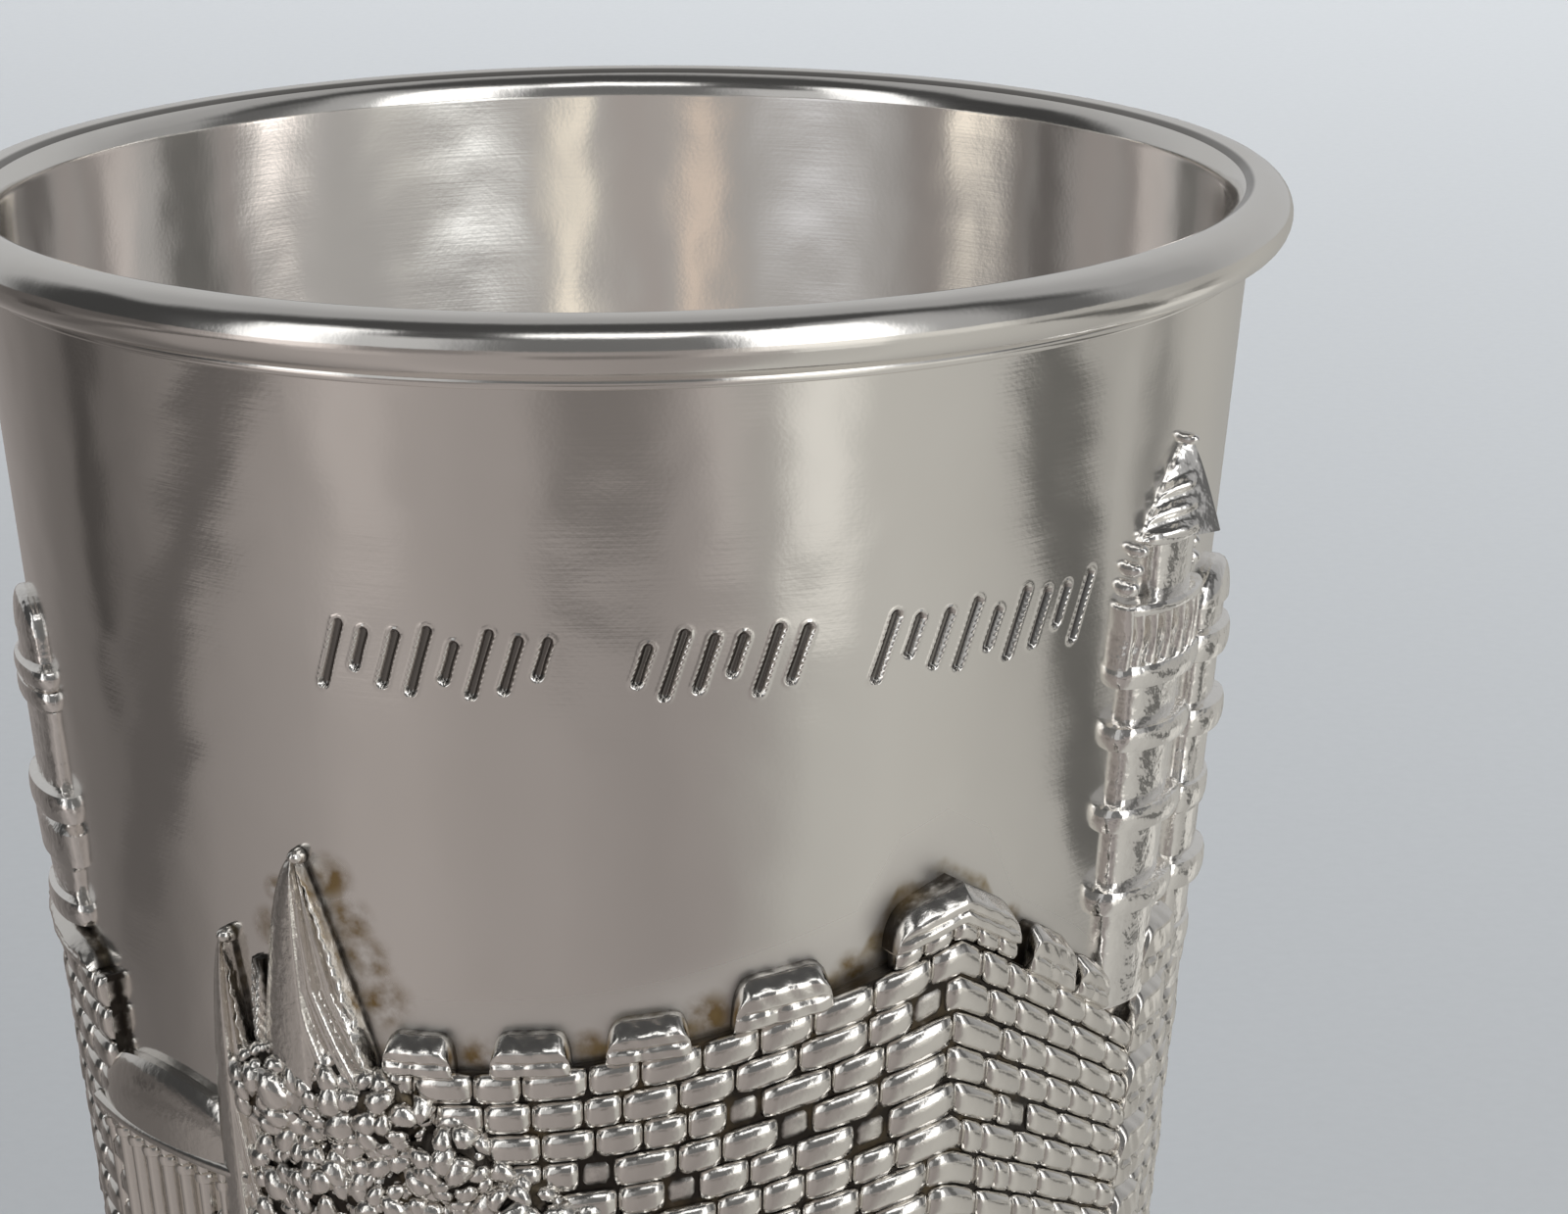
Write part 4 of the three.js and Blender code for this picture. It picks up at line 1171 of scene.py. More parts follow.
# %% Hall
HALL_LEFT, HALL_RIGHT = -68.5, -39.6
HALL_FOOT = 27 * MM
CORNICE_LOW, CORNICE_TOP = 36.9 * MM, 37.7 * MM
DOME_RISE = 3.3 * MM
HALL_COLUMNS = 9


def dome_sheet(angle, half_angle, low, rise, relief, rows=20, columns=48, peak=0.0):
    def shape(u, v):
        x = 2 * u - 1
        edge = np.sqrt(np.clip(1 - np.abs(x - peak * (1 - x * x)) ** 2.2, 0, 1))
        swell = np.sqrt(np.clip(1 - 0.93 * v ** 2, 0, 1))
        return (angle + half_angle * x, low + v * (0.2 * MM + rise * edge),
                0.25 * MM + (relief - 0.25 * MM) * swell * np.sqrt(edge + 0.02))
    return sheet(rows, columns, shape)


def hall_parts():
    middle, half = (HALL_LEFT + HALL_RIGHT) / 2, (HALL_RIGHT - HALL_LEFT) / 2
    parts = [dome_sheet(middle, half, CORNICE_TOP - 0.2 * MM, DOME_RISE, 1.2 * MM),
             band(HALL_LEFT, HALL_RIGHT, CORNICE_LOW, CORNICE_TOP - CORNICE_LOW, 1.3 * MM),
             band(HALL_LEFT + 0.6, HALL_RIGHT - 0.6, HALL_FOOT,
                  CORNICE_LOW - HALL_FOOT + 0.3 * MM, 0.45 * MM)]
    for place in range(HALL_COLUMNS):
        angle = HALL_LEFT + (HALL_RIGHT - HALL_LEFT) * (place + 0.5) / HALL_COLUMNS
        bar = [(z, 0.42 * MM, 0.95 * MM) for z in np.linspace(HALL_FOOT, CORNICE_LOW + 0.2 * MM, 6)]
        parts.append(half_turned(angle, bar, columns=10))
        cap = swelling(CORNICE_LOW - 0.9 * MM, CORNICE_LOW - 0.3 * MM, 0.6 * MM, 1.1 * MM, steps=4)
        parts.append(half_turned(angle, cap, columns=10))
    return joined(parts)


make_piece("domed_hall", *hall_parts(), stone_silver)

# %% The back's dome and gate
BACK_DOME = (180.0, 17.0, 44.2 * MM, 7.5 * MM, 1.4 * MM)
GATE = {"angle": 180.0, "half": 7.0, "frame": 1.7, "foot": 23 * MM, "spring": 33 * MM}


def gate_parts():
    """An arched door: a frame that follows the arch and a door leaf with planks inside it."""
    def arch(half_angle, relief, planks):
        rise = half_angle * math.radians(1) * wall_radius(GATE["spring"])

        def shape(u, v):
            x = 2 * u - 1
            top = GATE["spring"] + rise * np.sqrt(np.clip(1 - x * x, 0, 1))
            groove = 0.12 * MM * (np.abs((u * planks) % 1 - 0.5) > 0.42) if planks else 0
            z = GATE["foot"] + (top - GATE["foot"]) * v
            return GATE["angle"] + half_angle * x, z, relief - groove + 0 * v
        return sheet(10, 48, shape)
    return joined([arch(GATE["half"] + GATE["frame"], 1.15 * MM, 0), arch(GATE["half"], 1.32 * MM, 8),
                   dome_sheet(*BACK_DOME)])


make_piece("gate_and_back_dome", *gate_parts(), stone_silver)

# %% [markdown]
# ## Cypresses
# A cypress is a narrow flame. Its left side is one smooth face that rises to a ridge. Right of
# the ridge, flutes run from the tip and spread to the foot, and the outermost is a rough rib.

# %% Cypresses
CYPRESSES = [
    {"left": -37.4, "right": -22.8, "foot": 41.6, "tip": -31.2, "top": 53.9, "relief": 1.5, "flutes": 2.7},
    {"left": -45.0, "right": -36.8, "foot": 34.8, "tip": -40.8, "top": 49.2, "relief": 1.3, "flutes": 2.0},
    {"left": 117, "right": 130, "foot": 43, "tip": 123.5, "top": 56, "relief": 1.3, "flutes": 3.0},
    {"left": -153, "right": -140, "foot": 43, "tip": -146.5, "top": 55, "relief": 1.3, "flutes": 3.0},
]
RIDGE_PLACE = 0.36
FLUTE_SWEEP = 1.07  # how far a flute moves outward for the tree's whole height
FLUTE_CREST = 0.84  # a flute rises gently to here and then drops


def cypress(left, right, foot, tip, top, relief, flutes):
    def shape(u, v):
        to_left = (tip - left) * (1 - v) ** 0.5 + 0.35
        to_right = (right - tip) * (1 - v) ** 0.92 + 0.35
        side = (u - RIDGE_PLACE) / np.where(u < RIDGE_PLACE, RIDGE_PLACE, 1 - RIDGE_PLACE)
        ridge = tip + 0.1 * (right - tip) * (1 - v) ** 1.6
        edge = np.where(side < 0, tip - to_left, tip + to_right)
        angle = ridge + (edge - ridge) * np.abs(side)
        body = np.where(side < 0, 1 - 0.62 * np.abs(side) ** 1.6, 1 - 0.4 * np.abs(side) ** 1.3)
        fluted = smooth_step(0.0, 0.16, side)
        phase = (flutes * (side + FLUTE_SWEEP * np.minimum(v, 0.5)) + 0.56) % 1
        crest = np.where(phase < FLUTE_CREST, (phase / FLUTE_CREST) ** 0.8, (1 - phase) / (1 - FLUTE_CREST))
        groove = 0.5 * fluted * (1 - crest)
        scratch = 0.03 * fluted * np.sin(2 * np.pi * 3 * phase + 4 * v)
        rib = (0.34 + 0.14 * np.sin(90 * v) * np.sin(37 * v)) * np.exp(-((side - 0.9) / 0.08) ** 2)
        rounding = (1 - np.abs(2 * u - 1) ** 12) ** 0.5
        crown = 1 - 0.3 * v - 0.3 * v ** 8
        height = (relief * crown * body - groove * crown + scratch + rib) * rounding + 0.18
        return angle, (foot + (top - foot) * v) * MM, np.maximum(height, 0.18) * MM
    return sheet(80, 84, shape)


cypress_parts = [cypress(**tree) for tree in CYPRESSES]
cypress_parts += [drop(tree["tip"], tree["top"] * MM, 0.42 * MM, 0.8 * MM) for tree in CYPRESSES]
make_piece("cypresses", *joined(cypress_parts), leaf_silver, hollow=(0.1, 0.4))

# %% [markdown]
# ## Bushes and the slope
# Below the wall the hillside is a mass of small rounded leaves. A smooth swelling sheet carries
# it, and Geometry Nodes scatters leaf lumps over the sheet, turned to its surface. The front gets
# lumps of three sizes, close together; the rest of the slope gets fewer, larger ones.

# %% The slope's sheet
SLOPE_LINE = [(-180, 25), (-112, 26), (-72, 28), (-52, 29), (-42, 36), (-35, 43), (-26, 43.2), (-14, 40.2),
              (-4, 37.6), (8, 33), (32, 25.5), (62, 23.5), (120, 24), (180, 25)]
SLOPE_FOOT = 8.5 * MM
SLOPE_RELIEF = 1.2 * MM


def slope_top(angle):
    """The hillside's upper edge: soft steps between the knots, then little uneven crowns."""
    knots = np.array(SLOPE_LINE, dtype=float)
    place = np.clip(np.searchsorted(knots[:, 0], angle, side="right") - 1, 0, len(knots) - 2)
    low, high = knots[place], knots[place + 1]
    share = smooth_step(0, 1, (angle - low[..., 0]) / (high[..., 0] - low[..., 0]))
    return (low[..., 1] + (high[..., 1] - low[..., 1]) * share) * MM


def slope_shape(left, right):
    def shape(u, v):
        angle = left + (right - left) * u
        top = slope_top(angle) + 0.25 * MM * np.sin(np.radians(angle) * 31) ** 2
        z = SLOPE_FOOT + (top - SLOPE_FOOT) * v
        swell = np.sin(np.pi * np.clip(0.06 + 0.88 * v, 0, 1)) ** 0.35
        roll = 0.2 * np.sin(np.radians(angle) * 17 + 5 * v) * np.sin(z / MM * 1.35 + angle * 0.21)
        return angle, z, SLOPE_RELIEF * swell + roll * MM * swell
    return sheet(44, int(right - left), shape)


slope_front = make_piece("slope_ground_front", *slope_shape(-64, 70), leaf_silver, hollow=ALL_DARK)
slope_back = make_piece("slope_ground_back", *slope_shape(69.5, 296.5), leaf_silver, hollow=ALL_DARK)

# %% The tree that scatters leaves
SIZE_SEED = 7


def leaves_tree():
    tree, given = new_tree("scattered_leaves", [
        ("Leaf", "Object"), ("Silver", "Material"), ("Spacing", "Float"), ("Per area", "Float"),
        ("Smallest", "Float"), ("Largest", "Float"), ("Seed", "Int")])
    outer = wire(tree, "GeometryNodeInputNamedAttribute", {"Name": "leafy"}, data_type="FLOAT")
    spots = wire(tree, "GeometryNodeDistributePointsOnFaces",
                 {"Mesh": given["Geometry"], "Distance Min": given["Spacing"],
                  "Density Max": given["Per area"], "Density Factor": outer, "Seed": given["Seed"]},
                 distribute_method="POISSON")
    seat = wire(tree, "GeometryNodeObjectInfo", {"Object": given["Leaf"]}, out="Geometry")
    facing = wire(tree, "FunctionNodeAlignRotationToVector",
                  {"Vector": spots.node.outputs["Normal"]}, axis="Z")
    spin = wire(tree, "FunctionNodeRandomValue", {2: 0.0, 3: 2 * math.pi, "Seed": given["Seed"]}, out=1)
    turned = wire(tree, "FunctionNodeRotateRotation",
                  {"Rotation": facing,
                   "Rotate By": wire(tree, "ShaderNodeCombineXYZ", {2: spin})}, rotation_space="LOCAL")
    size = wire(tree, "FunctionNodeRandomValue",
                {2: given["Smallest"], 3: given["Largest"], "Seed": SIZE_SEED}, out=1)
    laid = wire(tree, "GeometryNodeInstanceOnPoints",
                {"Points": spots, "Instance": seat, "Rotation": turned, "Scale": size})
    real = wire(tree, "GeometryNodeRealizeInstances", {0: laid})
    done = wire(tree, "GeometryNodeSetMaterial", {"Geometry": real, "Material": given["Silver"]})
    wire(tree, "NodeGroupOutput", {0: done})
    return tree


scatter_tree = leaves_tree()
print("leaf tree has", len(scatter_tree.nodes), "nodes")

# %% Leaves
LEAF_COLUMNS = 10


def one_leaf(length):
    """A nugget of three lobes, domed above and closed below."""
    vertices = [(0, 0, 0.3 * length), (0, 0, -0.25 * length)]
    for ring, (spread, lift) in enumerate(((0.55, 0.25), (0.95, 0.08), (0.8, -0.18))):
        for step in range(LEAF_COLUMNS):
            turn = 2 * math.pi * step / LEAF_COLUMNS
            lobes = 1 + (0.14 * math.cos(3 * turn + 0.4) + 0.08 * math.cos(2 * turn)) * spread
            vertices.append((0.5 * length * spread * math.cos(turn) * lobes,
                             0.42 * length * spread * math.sin(turn) * lobes, lift * length))
    faces = []
    for step in range(LEAF_COLUMNS):
        following = (step + 1) % LEAF_COLUMNS
        faces.append((0, 2 + step, 2 + following))
        for ring in range(2):
            low = 2 + ring * LEAF_COLUMNS
            high = low + LEAF_COLUMNS
            faces.append((low + step, high + step, high + following, low + following))
        low = 2 + 2 * LEAF_COLUMNS
        faces.append((1, low + following, low + step))
    mesh = bpy.data.meshes.new("leaf")
    mesh.from_pydata(vertices, [], faces)
    lifts = np.array([vertex[2] for vertex in vertices])
    write_rubbed_and_shade(mesh, smooth_step(-0.04 * length, 0.22 * length, lifts))
    mesh.polygons.foreach_set("use_smooth", [True] * len(faces))
    return bpy.data.objects.new("leaf", mesh)


def mark_leafy(ground, lowest):
    """Writes 1 on the points whose relief is above the lowest: only there leaves may stand."""
    leafy = (relief_of(ground.data)[2] > lowest).astype(np.float32)
    ground.data.attributes.new("leafy", "FLOAT", "POINT").data.foreach_set("value", leafy)


def scattered(name, ground, leaf, spacing_mm, smallest, largest, seed):
    spacing = spacing_mm * MM
    numbers = {"Leaf": leaf, "Silver": leaf_silver, "Spacing": spacing, "Per area": 2.0 / spacing ** 2,
               "Smallest": smallest, "Largest": largest, "Seed": seed}
    return finish_piece(name, run_tree(ground, scatter_tree, numbers), leaf_silver, sharp=None)


leaf = one_leaf(1.65 * MM)
bead_leaf = one_leaf(0.95 * MM)
boulder = one_leaf(2.5 * MM)
big_leaf = one_leaf(2.4 * MM)
mark_leafy(slope_front, 0.2 * MM)
mark_leafy(slope_back, 0.2 * MM)
# name, sheet, lump, spacing in mm, smallest and largest size, seed
SLOPE_LEAVES = [
    ("slope_leaves_front", slope_front, leaf, 0.9, 0.75, 1.2, 11),
    ("slope_beads_front", slope_front, bead_leaf, 1.05, 0.75, 1.3, 15),
    ("slope_boulders_front", slope_front, boulder, 3.6, 0.75, 1.1, 16),
    ("slope_leaves_back", slope_back, big_leaf, 1.6, 0.8, 1.15, 12),
]
for row in SLOPE_LEAVES:
    scattered(*row)

# %% [markdown]
# ## Bushes against the wall
# Round bushes crowd where the wall meets the slope, and one between the two cypresses is kept
# dark all over as painted shade. Each is a dome with lobes; leaf lumps cover it like the slope.

# %% Bushes
BUSHES = [(-36.2, 42.2, 2.1), (-30.0, 42.4, 2.2), (-24.0, 41.8, 2.2), (-17.5, 39.8, 2.1),
          (-31.0, 38.0, 2.3), (-24.5, 37.4, 2.3), (-18.0, 35.8, 2.1), (-10.5, 37.4, 2.1)]
BUSH_RELIEF = 1.55 * MM


def bush(angle, z, radius):
    """A dome whose outline and height swell in lobes."""
    def shape(u, v):
        turn = 2 * np.pi * u
        lobes = 1 + 0.07 * np.sin(5 * turn + angle) + 0.05 * np.sin(9 * turn + z)
        out = v * radius * MM * lobes
        dome = np.sqrt(np.clip(1 - v ** 2, 0, 1))
        sideways, upward = out * np.cos(turn), out * np.sin(turn)
        bumps = 0.09 * MM * np.sin(7 * turn + 9 * v) * np.sin(np.pi * v)
        return (angle + degrees_for(sideways, z * MM), z * MM + upward,
                0.3 * MM + (BUSH_RELIEF - 0.3 * MM) * dome + bumps)
    return round_sheet(12, 30, shape)


bushes = make_piece("bushes", *joined([bush(*place) for place in BUSHES]), leaf_silver, hollow=ALL_DARK)
mark_leafy(bushes, 0.35 * MM)
BUSH_LEAVES = [
    ("bush_leaves", bushes, one_leaf(1.5 * MM), 0.8, 0.75, 1.2, 21),
    ("bush_beads", bushes, bead_leaf, 0.85, 0.75, 1.3, 22),
    ("bush_boulders", bushes, boulder, 3.4, 0.7, 1.0, 23),
]
for row in BUSH_LEAVES:
    scattered(*row)

# %% The bush between the cypresses, kept dark as painted shade


SHADE_PAINTED_BUSH = {"angle": -37.2, "foot": 40.5, "tall": 7.9, "wide": 3.6, "narrowing": 2.2}


def shade_painted_bush_sheet():
    """A low rough patch that narrows upward; it is left dark as painted shade."""
    def shape(u, v):
        angle = SHADE_PAINTED_BUSH["angle"] + (u - 0.5) * (SHADE_PAINTED_BUSH["wide"] - SHADE_PAINTED_BUSH["narrowing"] * v)
        z = (SHADE_PAINTED_BUSH["foot"] + SHADE_PAINTED_BUSH["tall"] * v) * MM
        grain = np.sin(angle * 9 + 31 * v) * np.sin(z / MM * 5.2 + angle * 3)
        edge = np.sin(np.pi * u) ** 0.5 * np.sin(np.pi * (0.08 + 0.88 * v)) ** 0.4
        return angle, z, (0.15 + (0.45 + 0.2 * grain) * edge) * MM
    return sheet(64, 30, shape)


# Nearly all of this patch stays below the dark threshold: painted shade for leaves lying in shadow.
make_piece("bush_between_cypresses", *shade_painted_bush_sheet(), leaf_silver, hollow=(0.2, 0.75))

# %% [markdown]
# ## Riding on the cup
# The cup has one body and one finish slot. Every piece rides on that body; the turned vessel is
# shown in place of the solid.

# %% Ride and replace
for piece in MADE:
    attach(piece, "root")
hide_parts("cup")
print(len(MADE), "pieces ride on the cup")

# %% [markdown]
# ## Floor and light
# The cup stands on a plain pale floor. A wide lamp behind it lights the far floor, and a soft
# lamp on the right lets the cup's own shadow darken the floor on its left.

# %% Floor
FLOOR_REACH = 3.0
FLOOR_TONE, FLOOR_GRAIN = from_hex("C9CDD1"), from_hex("CED2D6")
PAPER_FIBRE = MM / 0.9  # clumps a little over a millimetre long


def made_stage(name, vertices, faces, material):
    mesh = bpy.data.meshes.new(name)
    mesh.from_pydata(vertices, [], faces)
    mesh.materials.append(material)
    thing = bpy.data.objects.new(name, mesh)
    bpy.context.scene.collection.objects.link(thing)
    return thing


def paper_floor():
    material, tree = new_material("matte_paper_floor")
    place = wire(tree, "ShaderNodeTexCoord", out="Object")
    grain = wire(tree, "ShaderNodeTexNoise", {"Vector": place, "Scale": 1 / PAPER_FIBRE, "Detail": 2.0})
    tone = wire(tree, "ShaderNodeMix", {0: grain, 6: FLOOR_TONE, 7: FLOOR_GRAIN}, out=2, data_type="RGBA")
    shader = wire(tree, "ShaderNodeBsdfPrincipled", {"Base Color": tone, "Roughness": 0.9})
    wire(tree, "ShaderNodeOutputMaterial", {"Surface": shader})
    return material


corners = [(x * FLOOR_REACH, y * FLOOR_REACH, 0) for x, y in ((-1, -1), (1, -1), (1, 1), (-1, 1))]
floor = made_stage("floor", corners, [(0, 1, 2, 3)], paper_floor())

# %% World and lamps
WORLD_GLOW = 0.03


def make_world():
    world = bpy.data.worlds.new("soft_room")
    bpy.context.scene.world = world
    world.use_nodes = True
    tree = world.node_tree
    tree.nodes.clear()
    light = wire(tree, "ShaderNodeBackground", {"Color": from_hex("F4F8FC"), "Strength": WORLD_GLOW})
    wire(tree, "ShaderNodeOutputWorld", {"Surface": light})


def lamp(name, azimuth, elevation, reach, width, height, power):
    """A soft rectangle of light facing the cup. Reflections don't see it: they have their own room."""
    data = bpy.data.lights.new(name, "AREA")
    data.shape = "RECTANGLE"
    data.size = width
    data.size_y = height
    data.energy = power
    thing = bpy.data.objects.new(name, data)
    bpy.context.scene.collection.objects.link(thing)
    turn, lift = math.radians(azimuth), math.radians(elevation)
    away = Vector((math.sin(turn) * math.cos(lift), -math.cos(turn) * math.cos(lift), math.sin(lift)))
    thing.location = away * reach
    thing.rotation_euler = (-away).to_track_quat("-Z", "Y").to_euler()
    thing.visible_glossy = False


make_world()
lamp("far_lamp", azimuth=172, elevation=36, reach=1.05, width=1.0, height=0.5, power=7.9)
lamp("shadow_lamp", azimuth=98, elevation=34, reach=0.7, width=0.25, height=0.2, power=2.1)

# %% [markdown]
# ## The room that the silver shows
# Polished silver has hardly a colour of its own: what shows is the room. So a room is drawn for
# it, a disc round the cup's foot, a dome above and a curtain in the cup, which only reflections
# can see. Each glows as much as the thing in that direction would: pale paper, a dark doorway,
# two windows, the dark place where the viewer stands. On the round wall these draw out into
# upright bands.

# %% The room's tools


def soft_box(value, middle, half, soft):
    """1 inside a band, 0 outside, soft at both edges."""
    return smooth_step(-half - soft, -half + soft, value - middle) * smooth_step(
        -half - soft, -half + soft, middle - value)


def turned_from(azimuth, middle):
    """The difference of two azimuths, from -180 to 180."""
    return (azimuth - middle + 180) % 360 - 180


def glow_material(name):
    material, tree = new_material(name)
    glow = wire(tree, "ShaderNodeAttribute", out="Color", attribute_name="glow")
    shine = wire(tree, "ShaderNodeEmission", {"Color": glow, "Strength": 1.0})
    wire(tree, "ShaderNodeOutputMaterial", {"Surface": shine})
    return material


def glow_sheet(name, points, tones):
    """A grid of points that glows by its own tones. Only reflections see it."""
    rows, columns = points.shape[0] - 1, points.shape[1] - 1
    faces = []
    for row in range(rows):
        for column in range(columns):
            low = row * (columns + 1) + column
            faces.append((low, low + 1, low + columns + 2, low + columns + 1))
    thing = made_stage(name, points.reshape(-1, 3).tolist(), faces, glow_material(name))
    colours = np.ones((points.shape[0] * points.shape[1], 4), dtype=np.float32)
    colours[:, :3] = tones.reshape(-1, 3)
    attribute = thing.data.attributes.new("glow", "FLOAT_COLOR", "POINT")
    attribute.data.foreach_set("color", colours.ravel())
    thing.visible_camera = False
    thing.visible_diffuse = False
    thing.visible_shadow = False
    thing.visible_transmission = False
    return thing


LEFT_TINT = np.array([1.08, 0.985, 0.94])
RIGHT_TINT = np.array([1.02, 0.995, 0.935])
PLAIN_TINT = np.ones(3)


def tinted(tone, azimuth):
    """Rosy on the left of the cup, plain on its right."""
    share = smooth_step(10, 34, azimuth)[..., None]
    return tone[..., None] * (LEFT_TINT * (1 - share) + RIGHT_TINT * share)


# %% The disc round the foot
DISC_HEIGHT = 0.4 * MM
DISC_GLOW = [(-180, 0.36), (-150, 0.26), (-126, 0.15), (-108, 0.13), (-96, 0.14), (-88, 0.19), (-80, 0.24),
             (-72, 0.26), (-60, 0.29), (-48, 0.35), (-38, 0.35), (-24, 0.31), (-12, 0.31), (0, 0.28),
             (6, 0.27), (18, 0.30), (26, 0.37), (32, 0.47), (48, 0.51), (60, 0.49), (72, 0.45), (84, 0.42),
             (96, 0.40), (108, 0.38), (120, 0.44), (132, 0.46), (150, 0.40), (180, 0.36)]
# Things on the disc: azimuth where they are 180 mm off, half width, nearest and farthest reach
# in mm, softness in degrees, how far they lean per mm of reach, and their glow.
DISC_THINGS = [
    (-108, 4, 166, 240, 2, 0.0, 0.05),    # doorway
    (-84, 9, 118, 240, 2, -0.42, 0.10),   # dark sleeve
    (-45, 7, 160, 240, 2.5, 0.0, 0.42),   # pale page
    (-3, 10, 163, 240, 3, 0.0, 0.165),    # the viewer
    (18, 4, 158, 240, 2, 0.0, 0.42),      # a page's shoulder
    (35, 6, 158, 240, 2.5, 0.0, 0.76),    # bright page
    (88, 9, 120, 240, 2, 0.25, 0.12),     # dark frame
    (102.5, 2.5, 160, 240, 1, 0.0, 0.46),  # lamp's foot
    (111, 3, 163, 240, 2, 0.0, 0.20),     # gap
    (119, 8, 100, 164, 3, 0.0, 0.66),     # window's light on the table
    (-95, 22, 240, 990, 5, 0.0, 0.10),    # the dark side of the room
    (-54, 10, 240, 990, 4, 0.0, 0.85),    # floor under the left window
    (-33, 11, 240, 990, 4, 0.0, 0.20),
    (33, 12, 240, 990, 4, 0.0, 1.00),     # floor under the right window
    (55, 12, 240, 990, 5, 0.0, 0.68),
    (75, 9, 240, 990, 4, 0.0, 0.40),
]


def disc_glow(azimuth, reach):
    places, tones = zip(*DISC_GLOW)
    tone = np.interp(azimuth, places, tones)
    for middle, half, near, far, soft, lean, glow in DISC_THINGS:
        waves = 1.0 * np.sin(reach * 0.16 + middle) + 0.6 * np.sin(reach * 0.31 + 2 * middle)
        along = turned_from(azimuth, middle + lean * (180 - np.minimum(reach, 240)) + waves)
        mask = soft_box(along, 0, half, soft) * soft_box(reach, (near + far) / 2, (far - near) / 2, 6)
        tone = tone * (1 - mask) + glow * mask
    return tinted(tone, azimuth)


def make_disc():
    reaches = np.concatenate([np.linspace(24, 220, 50), [300, 500, 950]])
    azimuth, reach = np.meshgrid(np.linspace(-180, 180, 241), reaches)
    return glow_sheet("room_disc", around(reach * MM, azimuth, DISC_HEIGHT), disc_glow(azimuth, reach))


# %% The dome
DOME_REACH = 0.95
# Things in the room: azimuth, half width, lowest and highest elevation, softness, glow.
DOME_THINGS = [
    (-92, 22, -30, 42, 8, 0.05),    # dark room on the left
    (-33, 12, -30, 34, 5, 0.52),    # low pale shelf
    (-55, 9, -30, 48, 4, 1.40),     # left window
    (56, 14, -30, 60, 10, 0.38),    # pale wall on the right
    (34, 12, -30, 52, 4, 1.85),     # right window
    (77, 9, -30, 40, 6, 0.12),      # dark frame
    (100, 12, -30, 30, 6, 0.33),    # pale door
    (-4, 20, -30, 42, 6, 0.15),     # the viewer
    (0, 18, 45, 57, 6, 1.9),        # ceiling lamp
]


def dome_glow(azimuth, elevation):
    turn, lift = np.radians(azimuth), np.radians(elevation)
    behind = -np.cos(turn) * np.cos(lift)
    tone = 0.06 + 0.30 * smooth_step(-0.06, 0.16, behind) + 0.13 * smooth_step(0.2, 0.85, behind)
    for middle, half, low, high, soft, glow in DOME_THINGS:
        mask = soft_box(turned_from(azimuth, middle), 0, half, soft)
        mask = mask * soft_box(elevation, (low + high) / 2, (high - low) / 2, 5)
        tone = tone * (1 - mask) + glow * mask
    return tone[..., None] * PLAIN_TINT


def make_dome():
    azimuth, elevation = np.meshgrid(np.linspace(-180, 180, 181), np.linspace(0, 89.9, 46))
    lift = np.radians(elevation)
    points = around(DOME_REACH * np.cos(lift), azimuth, DOME_REACH * np.sin(lift))
    return glow_sheet("room_dome", points, dome_glow(azimuth, elevation))


# %% The streaks inside the cup
# The inner wall shows the wall across from it, which shows the lamps above. The many bounces
# draw each lamp into an upright streak, so the streaks are given by a curtain inside the cup.
CURTAIN_GAP = 1.0 * MM
CURTAIN_LOW, CURTAIN_HIGH = 30 * MM, 77.5 * MM
CURTAIN_TONE, CURTAIN_TINT = 0.37, np.array([1.02, 0.99, 0.965])
CURTAIN_AROUND, CURTAIN_UPWARD = 313, 60  # points; a streak's soft edge takes several
STREAK_FADE = 5.0  # in mm, at a streak's lower and upper end
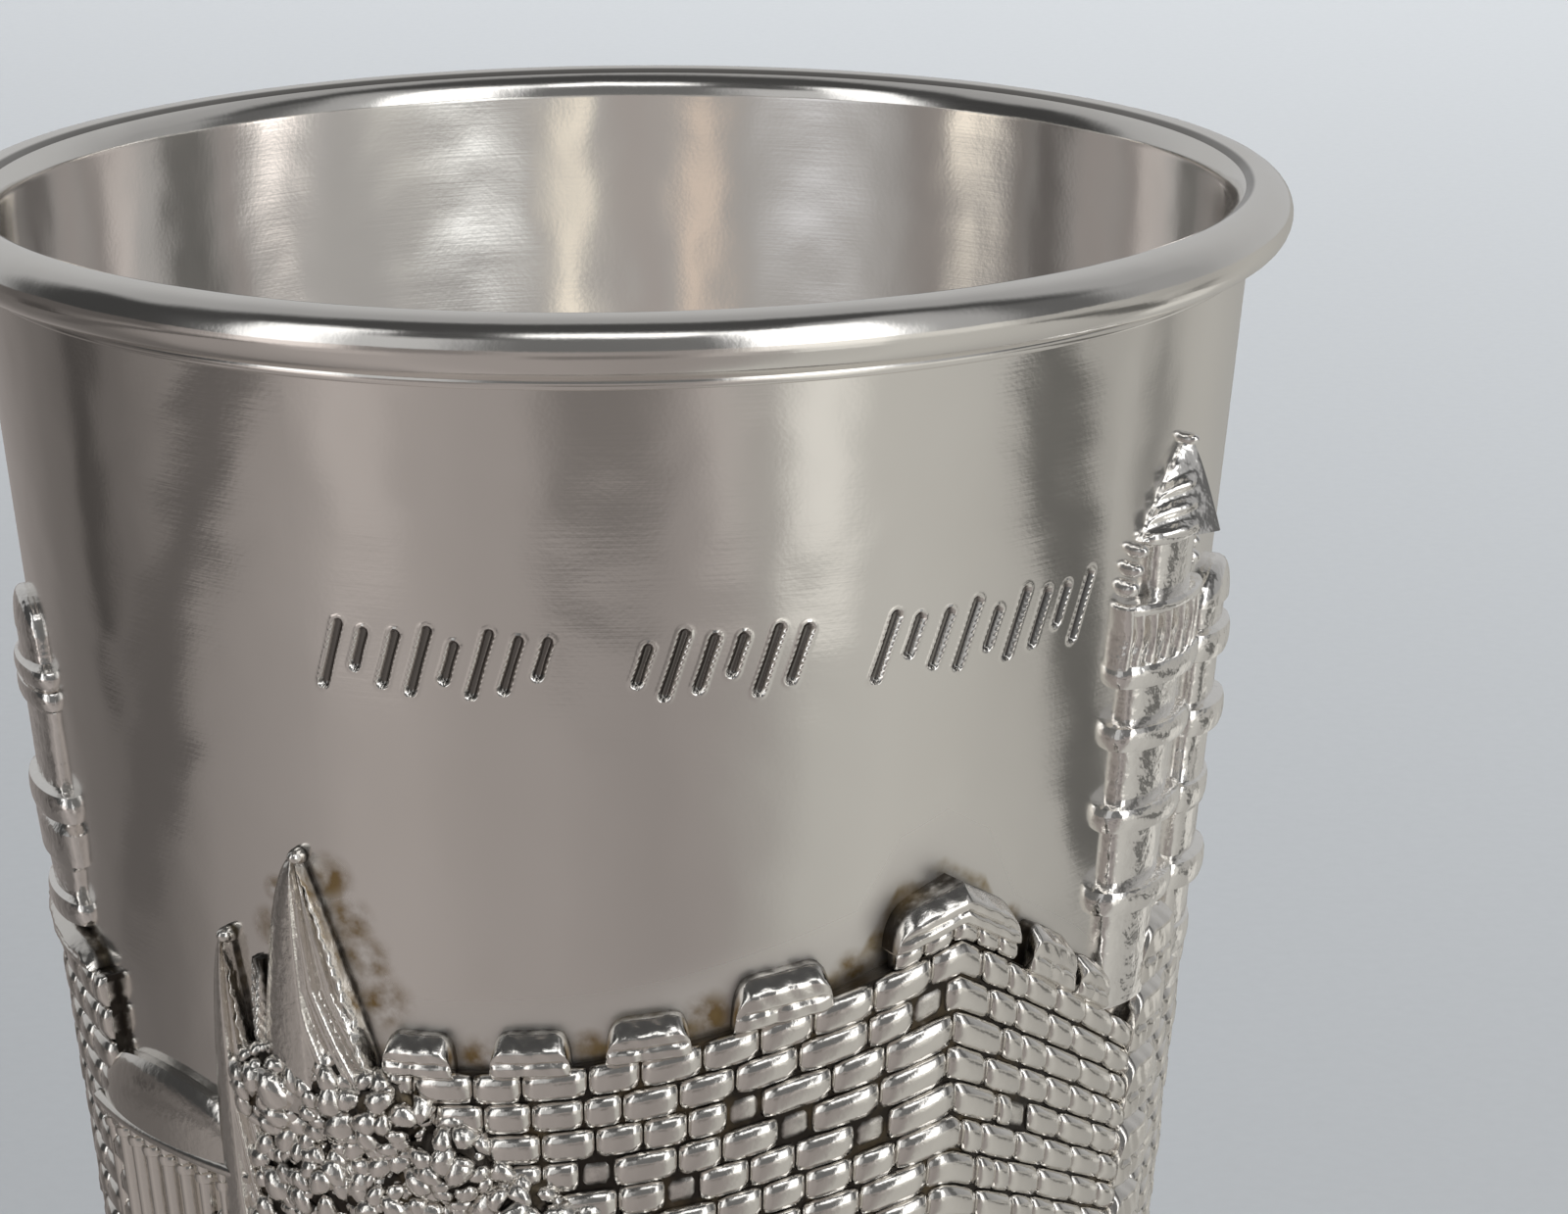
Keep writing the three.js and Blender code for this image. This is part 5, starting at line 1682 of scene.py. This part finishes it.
# azimuth, half width, lowest and highest height in mm, glow, tint
STREAKS = [
    (170, 8, 30, 90, 0.54, LEFT_TINT),
    (139, 8, 30, 90, 0.09, RIGHT_TINT),
    (122, 5, 30, 90, 0.25, LEFT_TINT),
    (106, 5.5, 70.5, 90, 2.6, np.array([1.06, 0.98, 0.93])),
    (60, 12, 70, 90, 0.70, RIGHT_TINT),
    (41, 10, 71, 90, 2.5, np.array([0.98, 1.0, 1.0])),
    (13, 4, 30, 72, 1.15, np.array([1.1, 1.0, 0.84])),
    (-8, 6, 30, 90, 0.34, LEFT_TINT),
    (-26, 4, 30, 72, 0.72, np.array([1.2, 0.97, 0.8])),
    (-60, 12, 70, 90, 0.9, np.array([0.98, 0.98, 1.02])),
    (-99, 9, 30, 90, 0.22, LEFT_TINT),
    (-113, 4.5, 69, 90, 1.4, np.array([1.1, 1.0, 0.86])),
    (-127, 5, 30, 90, 0.14, LEFT_TINT),
    (-143, 9, 30, 90, 0.09, LEFT_TINT),
    (-162, 7, 30, 90, 0.28, LEFT_TINT),
    (-180, 7, 30, 90, 0.22, LEFT_TINT),
]


def make_curtain():
    """Only the curtain's inner side glows, so what leaves the wall behind it passes through."""
    azimuth, z = np.meshgrid(np.linspace(-180, 180, CURTAIN_AROUND),
                             np.linspace(CURTAIN_LOW, CURTAIN_HIGH, CURTAIN_UPWARD))
    turn = np.radians(azimuth)
    tone = CURTAIN_TONE * (1 + 0.12 * np.sin(turn * 9) * np.sin(turn * 4 + 1))
    tone = tone[..., None] * CURTAIN_TINT
    for middle, half, low, high, glow, tint in STREAKS:
        waves = 0.3 * np.sin(z / MM * 0.25 + middle)
        mask = soft_box(turned_from(azimuth, middle + waves), 0, half, half * 0.8)
        mask = mask * smooth_step(low - STREAK_FADE, low + STREAK_FADE, z / MM)
        mask = mask * smooth_step(high + STREAK_FADE, high - STREAK_FADE, z / MM)
        tone = tone * (1 - mask[..., None]) + glow * tint * mask[..., None]
    points = on_wall(azimuth, z, -WALL_THICKNESS - CURTAIN_GAP)
    curtain = glow_sheet("room_in_the_cup", points, tone)
    tree = curtain.data.materials[0].node_tree
    output = next(node for node in tree.nodes if node.type == "OUTPUT_MATERIAL")
    shine = output.inputs[0].links[0].from_socket
    side = wire(tree, "ShaderNodeNewGeometry", out="Backfacing")
    clear = wire(tree, "ShaderNodeBsdfTransparent")
    one_sided = wire(tree, "ShaderNodeMixShader", {0: side, 1: clear, 2: shine})
    tree.links.new(one_sided, output.inputs[0])
    return curtain


make_disc()
make_dome()
make_curtain()
print("the silver's room is ready")

# %% Picture tone
bpy.context.scene.view_settings.view_transform = "Standard"
